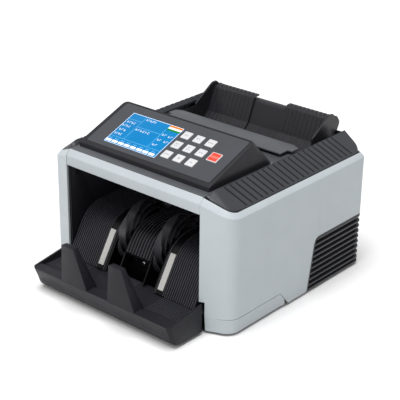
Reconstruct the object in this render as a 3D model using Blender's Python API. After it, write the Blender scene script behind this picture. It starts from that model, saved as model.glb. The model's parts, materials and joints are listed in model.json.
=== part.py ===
"""Banknote counting machine, built as separate named pieces in millimetres and stored in metres.

Machine frame: X across (0 is the middle), Y from the front bezel's face towards the rear,
Z up from the table. The machine_frame empty moves everything so that the part's own origin
is the bottom centre of its bounding box.
"""
import math

import bmesh
import bpy
from mathutils import Vector

MM = 0.001
GAP = 0.3                      # clearance between neighbouring solids

# Casing
WIDTH = 280.0                  # across the two side covers
DEPTH = 272.0                  # front bezel face to rear panel
WALL = 2.5
OPENING_X = 103.3              # half width of the stacker opening
OPENING_TOP = 145.0
DECK_Z = 164.4                 # top of the deck the display head stands on
RIM_FALL = 0.46                # fall of the front rim per millimetre outwards
RIDGE = (107.6, 169.7)         # X, Z of the ridge along the inner edge of each shoulder
RIDGE_START = 22.0             # depth at which the ridge reaches its full height
SHOULDER_END = 261.0           # rear end of the shoulders, in front of the rear rim
CHAMFER = 5.8                  # width of the sloping rim, seen from above
SKIRT_Z = 21.6                 # step line between side cover and base pan
COVER_Z = 3.0                  # lowest edge of the side covers
VENT_Z = 69.8                  # top of the rear vent grilles
FRONT_REACH = 64.0             # stacker fingers in front of the bezel
REAR_REACH = 272.0             # hopper wings and rear panel behind the bezel
FOOT_HEIGHT = 2.7

# Display head
HEAD_X = 100.0
HEAD_FRONT = (18.0, 169.8)     # Y, Z of the fascia's front edge
HEAD_TILT = math.radians(21.0)
HEAD_SLOPE = 84.8              # length of the fascia up the slope
HEAD_REAR_Y = 130.8
KEY_PITCH = 18.0
KEY_SIZE = 11.7
START_KEY_SIZE = 14.4
LCD_BOX = (-73.0, 14.2, 7.5, 70.0)

# Shafts: (Y, Z) of each axis
STACKER_AXIS = (52.0, 62.0)
MOTOR_AXIS = (120.0, 45.0)
FEED_AXIS = (186.0, 106.0)
PICKUP_AXIS = (217.4, 111.5)
RAIL_AXIS = (254.0, 156.0)
SHAFT_R = 4.0
FEED_ROLLER_R = 16.0
PICKUP_ROLLER_R = 14.0
FRAME_X = 100.8                # inner face of each frame plate
FRAME_T = 2.0
PULLEY_X = (-118.0, -108.0)
PULLEY_R = {"motor": 8.0, "feed": 14.0, "pickup": 9.0, "stacker": 18.0}
WHEEL_R = 44.0
WHEEL_X = 22.0                 # inner side of each finger wheel
WHEEL_WIDTH = 12.0

# Hopper
GUIDE_INNER_X = 24.4
GUIDE_OUTER_X = 93.0
BED_X = 60.0
PINION_XYZ = (0.0, 254.0, 135.0)
PINION_R = 8.0
PINION_TEETH = 16

# Colours (linear RGB), roughness, metallic
FINISHES = {
    "shell_grey": ((0.47, 0.52, 0.55), 0.42, 0.0),
    "charcoal": ((0.075, 0.08, 0.085), 0.55, 0.0),
    "black_plastic": ((0.02, 0.02, 0.022), 0.5, 0.0),
    "key_white": ((0.85, 0.85, 0.85), 0.4, 0.0),
    "key_red": ((0.85, 0.09, 0.04), 0.4, 0.0),
    "display": ((0.01, 0.28, 0.8), 0.2, 0.0),
    "off_white": ((0.6, 0.6, 0.56), 0.6, 0.0),
    "rubber": ((0.03, 0.03, 0.03), 0.8, 0.0),
    "steel": ((0.6, 0.6, 0.62), 0.3, 1.0),
    "board_green": ((0.02, 0.16, 0.05), 0.5, 0.0),
}


# ---------------------------------------------------------------- outlines

def fillet_path(corners, radii, steps=5):
    """Open polyline through corners, with an arc at each inner corner that has a radius."""
    path = [tuple(corners[0])]
    for before, here, after, radius in zip(corners, corners[1:], corners[2:], radii[1:]):
        a = Vector(before) - Vector(here)
        b = Vector(after) - Vector(here)
        angle = a.angle(b)
        if radius <= 0.0 or angle > math.pi - 0.01:
            path.append(tuple(here))
            continue
        reach = radius / math.tan(angle / 2)
        middle = (a.normalized() + b.normalized()).normalized()
        centre = Vector(here) + middle * (radius / math.sin(angle / 2))
        start = Vector(here) + a.normalized() * reach - centre
        end = Vector(here) + b.normalized() * reach - centre
        sweep = start.angle_signed(end)
        for i in range(steps + 1):
            turn = math.atan2(start.y, start.x) - sweep * i / steps
            path.append((centre.x + radius * math.cos(turn), centre.y + radius * math.sin(turn)))
    path.append(tuple(corners[-1]))
    return path


def offset_corners(corners, inset):
    """Corners of an open polyline moved to its left by inset, end points square to their segments."""
    lines = []
    for a, b in zip(corners, corners[1:]):
        run = (Vector(b) - Vector(a)).normalized()
        normal = Vector((-run.y, run.x))
        lines.append((Vector(a) + normal * inset, run))
    moved = [tuple(lines[0][0])]
    for (p, d), (q, e) in zip(lines, lines[1:]):
        cross = d.x * e.y - d.y * e.x
        along = ((q - p).x * e.y - (q - p).y * e.x) / cross
        moved.append(tuple(p + d * along))
    last = Vector(corners[-1]) - Vector(corners[-2])
    normal = Vector((-last.y, last.x)).normalized()
    moved.append(tuple(Vector(corners[-1]) + normal * inset))
    return moved


def offset_path(corners, radii, inset, steps=5):
    """Filleted polyline moved to its left by inset; the arcs stay concentric."""
    moved = offset_corners(corners, inset)
    turns = [0.0] * len(corners)
    for i in range(1, len(corners) - 1):
        a = Vector(corners[i]) - Vector(corners[i - 1])
        b = Vector(corners[i + 1]) - Vector(corners[i])
        left = a.x * b.y - a.y * b.x > 0
        turns[i] = radii[i] - inset if left else radii[i] + inset
    return fillet_path(moved, turns, steps)


SHELL_CORNERS = [
    (OPENING_X, 0.0), (WIDTH / 2, 15.0), (WIDTH / 2, DEPTH - 10.0), (114.0, DEPTH), (OPENING_X, DEPTH),
]
SHELL_RADII = [0.0, 19.0, 10.0, 9.0, 0.0]


def shell_path(inset):
    """Plan outline of the right half of the casing, front to rear, moved inwards."""
    path = offset_path(SHELL_CORNERS, SHELL_RADII, inset)
    slant = SHELL_CORNERS[1][1] / (SHELL_CORNERS[1][0] - OPENING_X)
    path[0] = (OPENING_X, inset * math.hypot(1.0, slant))
    return path


def rim_z(x, y):
    """Height of the rim's inner edge: it falls outwards along the front, then stays level."""
    side_x = WIDTH / 2 - CHAMFER
    reach = abs(x) if y < DEPTH / 2 else side_x
    return DECK_Z - RIM_FALL * (reach - OPENING_X)


# ------------------------------------------------------------ solid makers

def make_material(name):
    colour, roughness, metallic = FINISHES[name]
    material = bpy.data.materials.get(name) or bpy.data.materials.new(name)
    material.use_nodes = True
    shader = material.node_tree.nodes["Principled BSDF"]
    shader.inputs["Base Color"].default_value = (*colour, 1.0)
    shader.inputs["Roughness"].default_value = roughness
    shader.inputs["Metallic"].default_value = metallic
    return material


def add_solid(name, verts, faces, finish, origin=(0.0, 0.0, 0.0), smooth=False, cutter=False):
    """One mesh object from machine-frame millimetres, with its origin where asked."""
    mesh = bpy.data.meshes.new(name)
    shift = Vector(origin)
    mesh.from_pydata([(Vector(v) - shift) * MM for v in verts], [], faces)
    work = bmesh.new()
    work.from_mesh(mesh)
    bmesh.ops.remove_doubles(work, verts=work.verts, dist=0.00001)
    bmesh.ops.recalc_face_normals(work, faces=work.faces)
    work.to_mesh(mesh)
    work.free()
    piece = bpy.data.objects.new(name, mesh)
    piece.location = shift * MM
    piece.parent = bpy.data.objects["machine_frame"]
    bpy.context.scene.collection.objects.link(piece)
    if cutter:
        piece.hide_render = True
        piece.display_type = "WIRE"
        return piece
    mesh.materials.append(make_material(finish))
    if smooth:
        mesh.shade_smooth()
        mesh.set_sharp_from_angle(angle=math.radians(35))
    return piece


def loft(name, sections, finish, ring=False, **options):
    """Skin a list of equal closed sections; a ring joins the last one to the first."""
    count = len(sections[0])
    verts = [point for section in sections for point in section]
    faces = []
    spans = len(sections) if ring else len(sections) - 1
    for s in range(spans):
        here = s * count
        there = (s + 1) % len(sections) * count
        for i in range(count):
            j = (i + 1) % count
            faces.append((here + i, here + j, there + j, there + i))
    if not ring:
        faces.append(tuple(range(count)))
        faces.append(tuple(range(len(verts) - count, len(verts))))
    return add_solid(name, verts, faces, finish, **options)


def extrude_x(name, profile, x0, x1, finish, **options):
    return loft(name, [[(x, y, z) for y, z in profile] for x in (x0, x1)], finish, **options)


def extrude_y(name, profile, y0, y1, finish, **options):
    return loft(name, [[(x, y, z) for x, z in profile] for y in (y0, y1)], finish, **options)


def extrude_z(name, outline, z0, z1, finish, **options):
    return loft(name, [[(x, y, z) for x, y in outline] for z in (z0, z1)], finish, **options)


def box(name, low, high, finish, **options):
    outline = [(low[0], low[1]), (high[0], low[1]), (high[0], high[1]), (low[0], high[1])]
    return extrude_z(name, outline, low[2], high[2], finish, **options)


def turned_x(name, profile, axis, finish, bore=0.0, steps=24, **options):
    """Solid of revolution about an X axis through (Y, Z); profile is (x, radius) end to end."""
    points = list(profile)
    if bore:
        points += [(profile[-1][0], bore), (profile[0][0], bore)]
    sections = []
    for x, radius in points:
        ring = []
        for i in range(steps):
            turn = math.tau * i / steps
            ring.append((x, axis[0] + radius * math.cos(turn), axis[1] + radius * math.sin(turn)))
        sections.append(ring)
    options.setdefault("origin", (0.0, *axis))
    return loft(name, sections, finish, ring=bool(bore), smooth=True, **options)


def cylinder(name, centre, radius, length, direction, finish, steps=24, **options):
    """Plain cylinder from centre along +X, +Y or +Z."""
    axis = "XYZ".index(direction)
    sections = []
    for along in (0.0, length):
        ring = []
        for i in range(steps):
            turn = math.tau * i / steps
            point = [radius * math.cos(turn), radius * math.sin(turn)]
            point.insert(axis, along)
            ring.append(tuple(c + p for c, p in zip(centre, point)))
        sections.append(ring)
    return loft(name, sections, finish, smooth=True, **options)


def combine(piece, others, operation):
    """Boolean each of the others into piece and hide them."""
    for other in others:
        other.hide_render = True
        other.display_type = "WIRE"
        step = piece.modifiers.new(f"{operation.lower()}_{other.name}", "BOOLEAN")
        step.operation = operation
        step.solver = "EXACT"
        step.object = other


def cut(piece, *cutters):
    combine(piece, cutters, "DIFFERENCE")


def join(piece, *others):
    combine(piece, others, "UNION")


def band(corners, radii, outer, inner, steps=5):
    """Closed outline between two offsets of the same polyline."""
    return offset_path(corners, radii, outer, steps) + offset_path(corners, radii, inner, steps)[::-1]


def mirrored(points, side):
    return [(side * p[0], *p[1:]) for p in points]


# ------------------------------------------------------------------ casing

def cover_bottom(y):
    """Lower edge of a side cover along the depth: step line, slant, bottom, vent cut-out."""
    marks = [(0.0, SKIRT_Z), (101.0, SKIRT_Z), (117.0, COVER_Z), (153.0, COVER_Z),
             (163.6, 62.0), (166.5, 67.5), (172.0, VENT_Z), (DEPTH + 1.0, VENT_Z)]
    for (y0, z0), (y1, z1) in zip(marks, marks[1:]):
        if y0 <= y <= y1:
            return z0 + (z1 - z0) * (y - y0) / (y1 - y0)
    return VENT_Z


def with_side_stops(path, stops):
    """Insert extra points on the straight side run of a shell path at the given depths."""
    result = []
    for here, there in zip(path, path[1:]):
        result.append(here)
        for y in stops:
            if abs(there[0] - here[0]) < 0.01 and here[1] < y < there[1]:
                result.append((here[0], y))
    result.append(path[-1])
    return result


def side_cover(name, side):
    """Grey side shell: front pillar, side, rear return and the sloping rim, as one lofted skin."""
    stops = (101.0, 117.0, 153.0, 163.6, 166.5, 172.0)
    outer = with_side_stops(shell_path(0.0), stops)
    inner = with_side_stops(shell_path(WALL), stops)
    rim = with_side_stops(shell_path(CHAMFER), stops)
    sections = []
    for o, i, r in zip(outer, inner, rim):
        top = rim_z(*r)
        low = top - 7.7 + 1.4 * (o[0] - OPENING_X) / (WIDTH / 2 - OPENING_X)
        bottom = cover_bottom(o[1])
        section = [(*o, bottom), (*o, low), (*r, top), (*r, top - 3.0), (*i, low - 1.2), (*i, bottom)]
        sections.append(mirrored(section, side))
    cover = loft(name, sections, "shell_grey", smooth=True)
    notch = box(name + "_tray_notch", (min(side * 103.0, side * 109.6), -1.0, 0.0),
                (max(side * 103.0, side * 109.6), 6.0, 39.2), "shell_grey", cutter=True)
    cut(cover, notch)
    return cover


def front_bezel():
    profile = [(0.0, OPENING_TOP), (0.0, 156.9), (CHAMFER, DECK_Z), (CHAMFER, DECK_Z - 3.0),
               (WALL, 155.6), (WALL, OPENING_TOP)]
    return extrude_x("front_bezel", profile, -OPENING_X + GAP, OPENING_X - GAP, "shell_grey")


def shoulder_outline():
    """Plan outline of a shoulder's outer edge, front to rear, with its rounded rear corner."""
    edge = with_side_stops(shell_path(CHAMFER + GAP), (RIDGE_START, 40.0))
    start, end = Vector(edge[0]), Vector(edge[1])
    tip = [tuple(start.lerp(end, share)) for share in (0.08, 0.24)]
    edge = tip + [p for p in edge[1:] if p[1] < SHOULDER_END - 12.0]
    side_x = edge[-1][0]
    corner = fillet_path([(side_x, SHOULDER_END - 11.0), (side_x, SHOULDER_END), (RIDGE[0] + 4.0, SHOULDER_END)],
                         [0.0, 10.5, 0.0])
    return edge + [(x, y - 0.02 * (len(corner) - i)) for i, (x, y) in enumerate(corner)]


def shoulder_panel(name, side):
    """Charcoal shoulder: inner slope, ridge and long fall to the rim; solid block at the rear end."""
    inner_x = OPENING_X + 0.4
    outline = shoulder_outline()
    side_x = WIDTH / 2 - CHAMFER
    low_z = rim_z(side_x, 0.0)
    sections = []
    for x, y in outline:
        share = min(1.0, (y - outline[0][1]) / (RIDGE_START - outline[0][1]))
        ridge_x = min(RIDGE[0], x - 0.6)
        start_z = rim_z(ridge_x, 0.0)
        ridge_z = start_z + (RIDGE[1] - start_z) * share
        edge_z = rim_z(x, y)
        if y > DEPTH / 2:
            edge_z = low_z + (RIDGE[1] - low_z) * (side_x - x) / (side_x - RIDGE[0])
        top = [(inner_x, y, DECK_Z), (ridge_x, y, ridge_z), (x, y, edge_z)]
        if y < SHOULDER_END - 11.5:
            bottom = [(px, py, pz - WALL) for px, py, pz in reversed(top)]
        else:
            bottom = [(px, py, low_z - WALL) for px, py, _ in reversed(top)]
        sections.append(mirrored(top + bottom, side))
    panel = loft(name, sections, "charcoal")
    rear = [p for p in shell_path(CHAMFER + GAP) if p[1] > DEPTH / 2]
    ledge_outline = [(inner_x, SHOULDER_END - 8.0), (rear[0][0], SHOULDER_END - 8.0)] + rear[:-1]
    ledge_outline.append((inner_x, rear[-1][1]))
    ledge = extrude_z(name + "_ledge", mirrored(ledge_outline, side), low_z - WALL + 0.5, low_z - 0.2, "charcoal",
                      cutter=True)
    join(panel, ledge)
    return panel


def top_deck():
    profile = [(CHAMFER + GAP, DECK_Z), (131.0, DECK_Z), (133.0, 161.0), (186.0, 161.0),
               (186.0, 158.5), (132.0, 158.5), (130.0, 161.9), (CHAMFER + GAP, 161.9)]
    return extrude_x("top_deck", profile, -OPENING_X, OPENING_X, "charcoal")


def base_pan():
    """Tray-shaped bottom casing; its sides are the skirt under the step line."""
    rear = offset_corners(SHELL_CORNERS, 7.0)[2:]
    corners = [(OPENING_X, 3.6), (109.9, 3.6), (110.0, 2.6), (138.6, 13.3), (138.6, 98.0), (137.0, 100.0),
               (137.0, 121.0), (133.0, 125.0)] + rear
    radii = [0.0, 0.0, 0.0, 15.0, 0.0, 0.0, 0.0, 0.0, 9.0, 0.0, 0.0]
    right = fillet_path(corners, radii)
    outline = right + [(-x, y) for x, y in reversed(right)]
    pan = extrude_z("base_pan", outline, COVER_Z, SKIRT_Z - GAP, "shell_grey", smooth=True)
    half = [(106.0, 7.0), (129.0, 19.0), (129.0, DEPTH - 21.0), (106.0, DEPTH - 11.0)]
    inner = half + [(-x, y) for x, y in reversed(half)]
    pocket = extrude_z("base_pan_pocket", inner, COVER_Z + WALL, 40.0, "shell_grey", cutter=True)
    cut(pan, pocket)
    return pan


def rear_panel():
    panel = box("rear_panel", (-OPENING_X + GAP, DEPTH - 2.6, COVER_Z + GAP), (OPENING_X - GAP, DEPTH, 162.0),
                "black_plastic")
    cutters = []
    for label, x0, x1 in (("inlet", -66.0, -38.0), ("rocker", -30.0, -16.0)):
        cutters.append(box(f"rear_panel_{label}_hole", (x0, DEPTH - 8.0, 30.0), (x1, DEPTH + 8.0, 52.0),
                           "black_plastic", cutter=True))
    cut(panel, *cutters)
    return panel


def vent_edge(z):
    """Depth of the slanted front edge of a vent grille at height z."""
    lean = 153.0 + (163.6 - 153.0) * (z - COVER_Z) / (62.0 - COVER_Z)
    if z > 62.0:
        lean += (172.0 - 163.6) * ((z - 62.0) / (VENT_Z - 62.0)) ** 2
    return lean + 0.5


def vent_grille(name, side, slats=8):
    """Louvred panel that wraps round a rear corner."""
    low = COVER_Z + 1.0
    high = VENT_Z - 0.5
    pitch = (high - low) / slats
    outside = []
    for k in range(slats):
        base = low + k * pitch
        outside += [(0.2, base), (0.2, base + pitch * 0.4), (3.6, base + pitch * 0.45), (3.6, base + pitch * 0.95)]
    outside += [(0.2, high - 0.3), (0.2, high)]
    shape = outside + [(5.6, high), (5.6, low)]
    stations = [p for p in shell_path(0.0) if p[0] > 112.5 and p[1] > 100.0]
    count = len(stations)
    sections = []
    for s in range(-1, count):
        section = []
        for inset, z in shape:
            if s < 0:
                section.append((WIDTH / 2 - inset, vent_edge(z), z))
                continue
            path = shell_path(inset)
            first = next(i for i, p in enumerate(path) if p[1] > 200.0)
            section.append((*path[first + s], z))
        sections.append(mirrored(section, side))
    return loft(name, sections, "black_plastic")


def frame_plate(name, side):
    """Side plate that carries the cross shafts; its front lines the stacker opening."""
    outline = [(3.2, 39.5), (3.2, 152.0), (9.0, 158.0), (262.0, 158.0), (262.0, 24.0), (20.0, 24.0), (20.0, 39.5)]
    x0, x1 = sorted((side * FRAME_X, side * (FRAME_X + FRAME_T)))
    plate = extrude_x(name, outline, x0, x1, "black_plastic")
    for label, axis, radius in (("stacker", STACKER_AXIS, SHAFT_R), ("feed", FEED_AXIS, SHAFT_R),
                                ("pickup", PICKUP_AXIS, SHAFT_R), ("motor", MOTOR_AXIS, 3.0)):
        if side < 0 or label != "motor":
            hole = cylinder(f"{name}_{label}_hole", (x0 - 1.0, *axis), radius + GAP, FRAME_T + 2.0, "X",
                            "steel", cutter=True)
            cut(plate, hole)
    return plate


def foot(name, x, y):
    return cylinder(name, (x, y, 0.0), 7.0, FOOT_HEIGHT, "Z", "rubber")


# ------------------------------------------------------------ display head

def on_fascia(u, v, w=0.0):
    """Point on the display head: u across, v up the slope, w out of the fascia."""
    y = HEAD_FRONT[0] + v * math.cos(HEAD_TILT) - w * math.sin(HEAD_TILT)
    z = HEAD_FRONT[1] + v * math.sin(HEAD_TILT) + w * math.cos(HEAD_TILT)
    return (u, y, z)


def fascia_block(name, u0, v0, u1, v1, w0, w1, finish, corner=0.0, **options):
    """Rectangular block lying in the fascia's plane, with optional rounded corners."""
    outline = rounded_rectangle(u0, v0, u1, v1, corner)
    sections = [[on_fascia(u, v, w) for u, v in outline] for w in (w0, w1)]
    return loft(name, sections, finish, **options)


def rounded_rectangle(u0, v0, u1, v1, radius, steps=3):
    if radius <= 0.0:
        return [(u0, v0), (u1, v0), (u1, v1), (u0, v1)]
    outline = []
    for cu, cv, start in ((u1 - radius, v0 + radius, 270), (u1 - radius, v1 - radius, 0),
                          (u0 + radius, v1 - radius, 90), (u0 + radius, v0 + radius, 180)):
        for i in range(steps + 1):
            turn = math.radians(start + 90 * i / steps)
            outline.append((cu + radius * math.cos(turn), cv + radius * math.sin(turn)))
    return outline


def head_housing():
    base = DECK_Z + 0.4
    top = on_fascia(0.0, HEAD_SLOPE)
    outside = [(HEAD_FRONT[0], base), HEAD_FRONT, (top[1], top[2]), (HEAD_REAR_Y, base)]
    housing = extrude_x("head_housing", outside, -HEAD_X, HEAD_X, "charcoal")
    inside = [(28.0, base - 1.0), (28.0, 170.3), (top[1] - 0.8, top[2] - 3.4), (HEAD_REAR_Y - 5.0, base - 1.0)]
    hollow = extrude_x("head_hollow", inside, -HEAD_X + WALL, HEAD_X - WALL, "charcoal", cutter=True)
    window = fascia_block("head_window", -94.7, 6.6, 94.7, 82.0, -1.9, 5.0, "charcoal", cutter=True)
    throat = fascia_block("head_throat", -92.0, 10.5, 92.0, 79.0, -4.5, 5.0, "charcoal", cutter=True)
    cut(housing, hollow, window, throat)
    return housing


def key_places():
    """Name, centre u, centre v and size of every key."""
    places = []
    for row, v in enumerate((61.3, 43.3, 25.3)):
        for column in range(3):
            places.append((f"key_{row + 1}_{column + 1}", 17.7 + KEY_PITCH * column, v, KEY_SIZE))
    places.append(("start_key", 73.1, 43.4, START_KEY_SIZE))
    return places


def head_fascia():
    fascia = fascia_block("head_fascia", -94.4, 6.9, 94.4, 81.7, -1.6, 0.0, "charcoal")
    u0, v0, u1, v1 = LCD_BOX
    holes = [fascia_block("fascia_lcd_hole", u0 - GAP, v0 - GAP, u1 + GAP, v1 + GAP, -3.0, 2.0,
                          "charcoal", cutter=True)]
    for name, u, v, size in key_places():
        half = size / 2 + 0.35
        holes.append(fascia_block(f"fascia_{name}_hole", u - half, v - half, u + half, v + half, -3.0, 2.0,
                                  "charcoal", cutter=True))
    cut(fascia, *holes)
    return fascia


def lcd_screen():
    u0, v0, u1, v1 = LCD_BOX
    return fascia_block("lcd_screen", u0, v0, u1, v1, -3.4, -0.1, "display")


def key(name, u, v, size):
    half = size / 2
    finish = "key_red" if name == "start_key" else "key_white"
    return fascia_block(name, u - half, v - half, u + half, v + half, -3.2, 0.6, finish, corner=0.8,
                        origin=on_fascia(u, v))


def bridge_cover():
    """Smooth cover over the note path, standing on a foot so that a gap shows under its edge."""
    outline = [(-91.0, 155.5), (91.0, 155.5), (91.0, 170.4), (97.0, 170.4), (97.0, 183.1), (88.0, 187.6),
               (-88.0, 187.6), (-97.0, 183.1), (-97.0, 170.4), (-91.0, 170.4)]
    cover = extrude_z("bridge_cover", outline, 163.7, 166.2, "charcoal")
    stand = box("bridge_foot", (-84.0, 162.0, 161.3), (84.0, 181.0, 165.0), "charcoal", cutter=True)
    join(cover, stand)
    return cover


# ------------------------------------------------------------------ hopper

HOPPER_CORNERS = [(203.0, 113.7), (241.0, 150.4), (253.4, 179.2), (264.0, 178.6), (265.0, 170.0)]
HOPPER_RADII = [0.0, 5.0, 6.0, 3.0, 0.0]
GUIDE_CORNERS = [(219.0, 129.1), (241.0, 150.4), (254.2, 181.0), (262.2, 181.0)]
GUIDE_RADII = [0.0, 5.0, 6.0, 0.0]


def hopper_bed():
    """Fixed bed: sloping floor with roller slots, back wall and rolled top edge."""
    profile = band(HOPPER_CORNERS, HOPPER_RADII, 0.0, -WALL)
    bed = extrude_x("hopper_bed", profile, -BED_X, BED_X, "charcoal", smooth=True)
    slots = []
    for side in (-1, 1):
        x0, x1 = sorted((side * 14.0, side * 38.0))
        slots.append(box(f"bed_slot_{x0:.0f}", (x0, 198.0, 104.0), (x1, 220.5, 136.0), "charcoal", cutter=True))
    cut(bed, *slots)
    return bed


def hopper_guide(name, side):
    """Sliding guide: ribbed plate over the bed, wing at the outer end, boss round the rail."""
    profile = band(GUIDE_CORNERS, GUIDE_RADII, 2.4, 0.5)
    x0, x1 = sorted((side * GUIDE_INNER_X, side * (GUIDE_OUTER_X - 0.2)))
    guide = extrude_x(name, profile, x0, x1, "charcoal", smooth=True)
    wing_shape = [(216.5, 131.0), (216.0, 167.0), (219.0, 170.6), (249.0, 187.6), (254.0, 188.6),
                  (258.5, 186.4), (267.5, 178.5), (REAR_REACH, 172.0), (266.0, 164.0), (262.0, 152.0),
                  (247.0, 148.0), (222.0, 125.5)]
    w0, w1 = sorted((side * (GUIDE_OUTER_X - 2.4), side * GUIDE_OUTER_X))
    wing = extrude_x(name + "_wing", wing_shape, w0, w1, "charcoal", cutter=True)
    b0, b1 = sorted((side * (GUIDE_OUTER_X - 9.5), side * (GUIDE_OUTER_X - 0.5)))
    boss = box(name + "_boss", (b0, 247.6, 147.5), (b1, 261.0, 163.5), "charcoal", cutter=True)
    join(guide, wing, boss)
    bore = cylinder(name + "_bore", (b0 - 5.0, *RAIL_AXIS), 3.0 + GAP, 30.0, "X", "steel", cutter=True)
    cut(guide, bore)
    return guide


def rack(name, side):
    """Toothed bar carried by a hopper guide; the two racks mesh with the pinion from above and below."""
    pitch = math.tau * PINION_R / PINION_TEETH
    facing = 1.0 if side < 0 else -1.0
    line = PINION_XYZ[2] + facing * PINION_R
    points = []
    reach = 12
    for k in range(-reach * 2, 3):
        x = -side * k * pitch
        for dx, dz in ((-0.95, 1.0), (-0.4, -0.8), (0.4, -0.8), (0.95, 1.0)):
            points.append((x - side * dx, line + facing * dz))
    outer_x = side * (GUIDE_OUTER_X - 3.0)
    top = line + facing * 3.6
    points = [(outer_x, line + facing * 1.0)] + points
    points += [(points[-1][0] - side * 0.5, line + facing * 1.0), (points[-1][0] - side * 0.5, top), (outer_x, top)]
    return extrude_y(name, points, PINION_XYZ[1] - 2.0, PINION_XYZ[1] + 2.0, "off_white")


def guide_pinion():
    x, y, z = PINION_XYZ
    outline = []
    for k in range(PINION_TEETH):
        middle = math.tau * (k + 0.5) / PINION_TEETH
        for radius, half in ((PINION_R - 1.0, 0.115), (PINION_R + 0.8, 0.045)):
            outline.append((middle - half, radius))
        for radius, half in ((PINION_R + 0.8, 0.045), (PINION_R - 1.0, 0.115)):
            outline.append((middle + half, radius))
    profile = [(x + r * math.sin(a), z + r * math.cos(a)) for a, r in outline]
    return extrude_y("guide_pinion", profile, y - 2.0, y + 2.0, "off_white", origin=PINION_XYZ)


# ----------------------------------------------------------------- stacker

PLATE_CORNERS = [(-4.0, 29.6), (30.0, 86.0), (112.0, 88.5)]
PLATE_RADII = [0.0, 40.0, 0.0]


def stacker_back_plate():
    """Curved plate the notes are stacked against, with two slots for the finger wheels."""
    profile = band(PLATE_CORNERS, PLATE_RADII, 0.0, -WALL, steps=8)
    plate = extrude_x("stacker_back_plate", profile, -FRAME_X + GAP, FRAME_X - GAP, "black_plastic", smooth=True)
    slots = []
    for side in (-1, 1):
        x0, x1 = sorted((side * 20.0, side * 38.0))
        slots.append(box(f"plate_slot_{x0:.0f}", (x0, -20.0, 33.0), (x1, 100.0, 120.0), "black_plastic", cutter=True))
    cut(plate, *slots)
    return plate


def wear_strip(name, side):
    """Off-white strip on the curved plate beside a finger wheel."""
    front = [p for p in offset_path(PLATE_CORNERS, PLATE_RADII, 1.5, 8) if p[1] < 76.0]
    back = [p for p in offset_path(PLATE_CORNERS, PLATE_RADII, 0.3, 8) if p[1] < 76.0]
    foot_share = 0.08
    front[0] = tuple(Vector(front[0]).lerp(Vector(front[1]), foot_share))
    back[0] = tuple(Vector(back[0]).lerp(Vector(back[1]), foot_share))
    x0, x1 = sorted((side * 43.4, side * 51.4))
    return extrude_x(name, front + back[::-1], x0, x1, "off_white", smooth=True)


TRAY_BEVEL_X = 104.5           # the tray's front corners are cut off from here outwards


def bevelled(profile, x):
    """Tray section at x; beyond the bevel's start its front is drawn back towards Y -40."""
    shrink = 1.0 - max(0.0, abs(x) - TRAY_BEVEL_X) / 16.0
    return [(x, -40.0 + (y + 40.0) * shrink if y < -40.0 else y, z) for y, z in profile]


def stacker_tray():
    """Front tray: hollow lip, floor that runs into the opening, end walls and two tapered fingers."""
    profile = [(-38.0, 3.4), (-1.0, 3.4), (-1.0, 6.0), (-37.0, 6.0), (-42.5, 8.5), (-51.5, 28.2), (-44.0, 28.2),
               (-40.0, 25.4), (6.0, 25.4), (6.0, 28.0), (-39.0, 28.0), (-43.0, 31.0), (-56.0, 31.0), (-47.0, 9.0),
               (-45.0, 5.5)]
    ends = (-108.6, -TRAY_BEVEL_X, TRAY_BEVEL_X, 108.6)
    tray = loft("stacker_tray", [bevelled(profile, x) for x in ends], "charcoal")
    parts = []
    wall = [(-38.5, 3.7), (-1.2, 3.7), (-1.2, 38.4), (-55.5, 30.8), (-46.8, 9.0), (-44.8, 5.8)]
    for side in (-1, 1):
        x0, x1 = sorted((side * 106.4, side * 109.0))
        parts.append(loft(f"tray_wall_{x0:.0f}", [bevelled(wall, x) for x in (x0, x1)], "charcoal", cutter=True))
        foot_line = [(side * 16.0, -55.8), (side * 58.0, -55.8), (side * 56.0, -38.0), (side * 18.0, -38.0)]
        tip_line = [(side * 27.6, -FRONT_REACH), (side * 46.6, -FRONT_REACH), (side * 45.6, -56.5),
                    (side * 28.6, -56.5)]
        sections = [[(x, y, 29.6) for x, y in foot_line], [(x, y, 83.0) for x, y in tip_line]]
        parts.append(loft(f"tray_finger_{side}", sections, "charcoal", cutter=True))
    join(tray, *parts)
    return tray


def stacker_wheel(name, side, fingers=8):
    """Wheel of long spiral fingers; a note drops between two tips and is laid down as the wheel turns."""
    swirl = math.radians(150.0)
    root = 16.0
    steps = 12
    outline = []
    for k in range(fingers):
        tip_turn = math.radians(128.0) + math.tau * k / fingers
        outer = []
        inner = []
        for i in range(steps + 1):
            share = i / steps
            turn = tip_turn + swirl * (1.0 - share)
            radius = WHEEL_R - (WHEEL_R - root) * (1.0 - share) ** 1.3
            outer.append((turn, radius))
            inner.append((turn, radius - 1.5 + 0.5 * share))
        outline.append((outer, inner))
    points = []
    for outer, inner in outline[::-1]:
        points += outer + inner[:0:-1]
    y, z = STACKER_AXIS
    profile = [(y + r * math.cos(a), z + r * math.sin(a)) for a, r in points]
    x0, x1 = sorted((side * WHEEL_X, side * (WHEEL_X + WHEEL_WIDTH)))
    wheel = extrude_x(name, profile, x0, x1, "black_plastic", origin=(0.0, y, z))
    bore = cylinder(name + "_bore", (x0 - 1.0, y, z), SHAFT_R + GAP, WHEEL_WIDTH + 2.0, "X", "steel", cutter=True)
    cut(wheel, bore)
    return wheel


# ------------------------------------------------------------------- drive

def cross_shaft(name, axis, left, right):
    return turned_x(name, [(left, SHAFT_R), (right, SHAFT_R)], axis, "steel", steps=16)


def pulley_profile(radius):
    x0, x1 = PULLEY_X
    rim = radius + 1.6
    return [(x0 - 1.5, rim), (x0 - 0.3, rim), (x0 - 0.3, radius), (x1 + 0.3, radius), (x1 + 0.3, rim),
            (x1 + 1.5, rim)]


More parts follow.
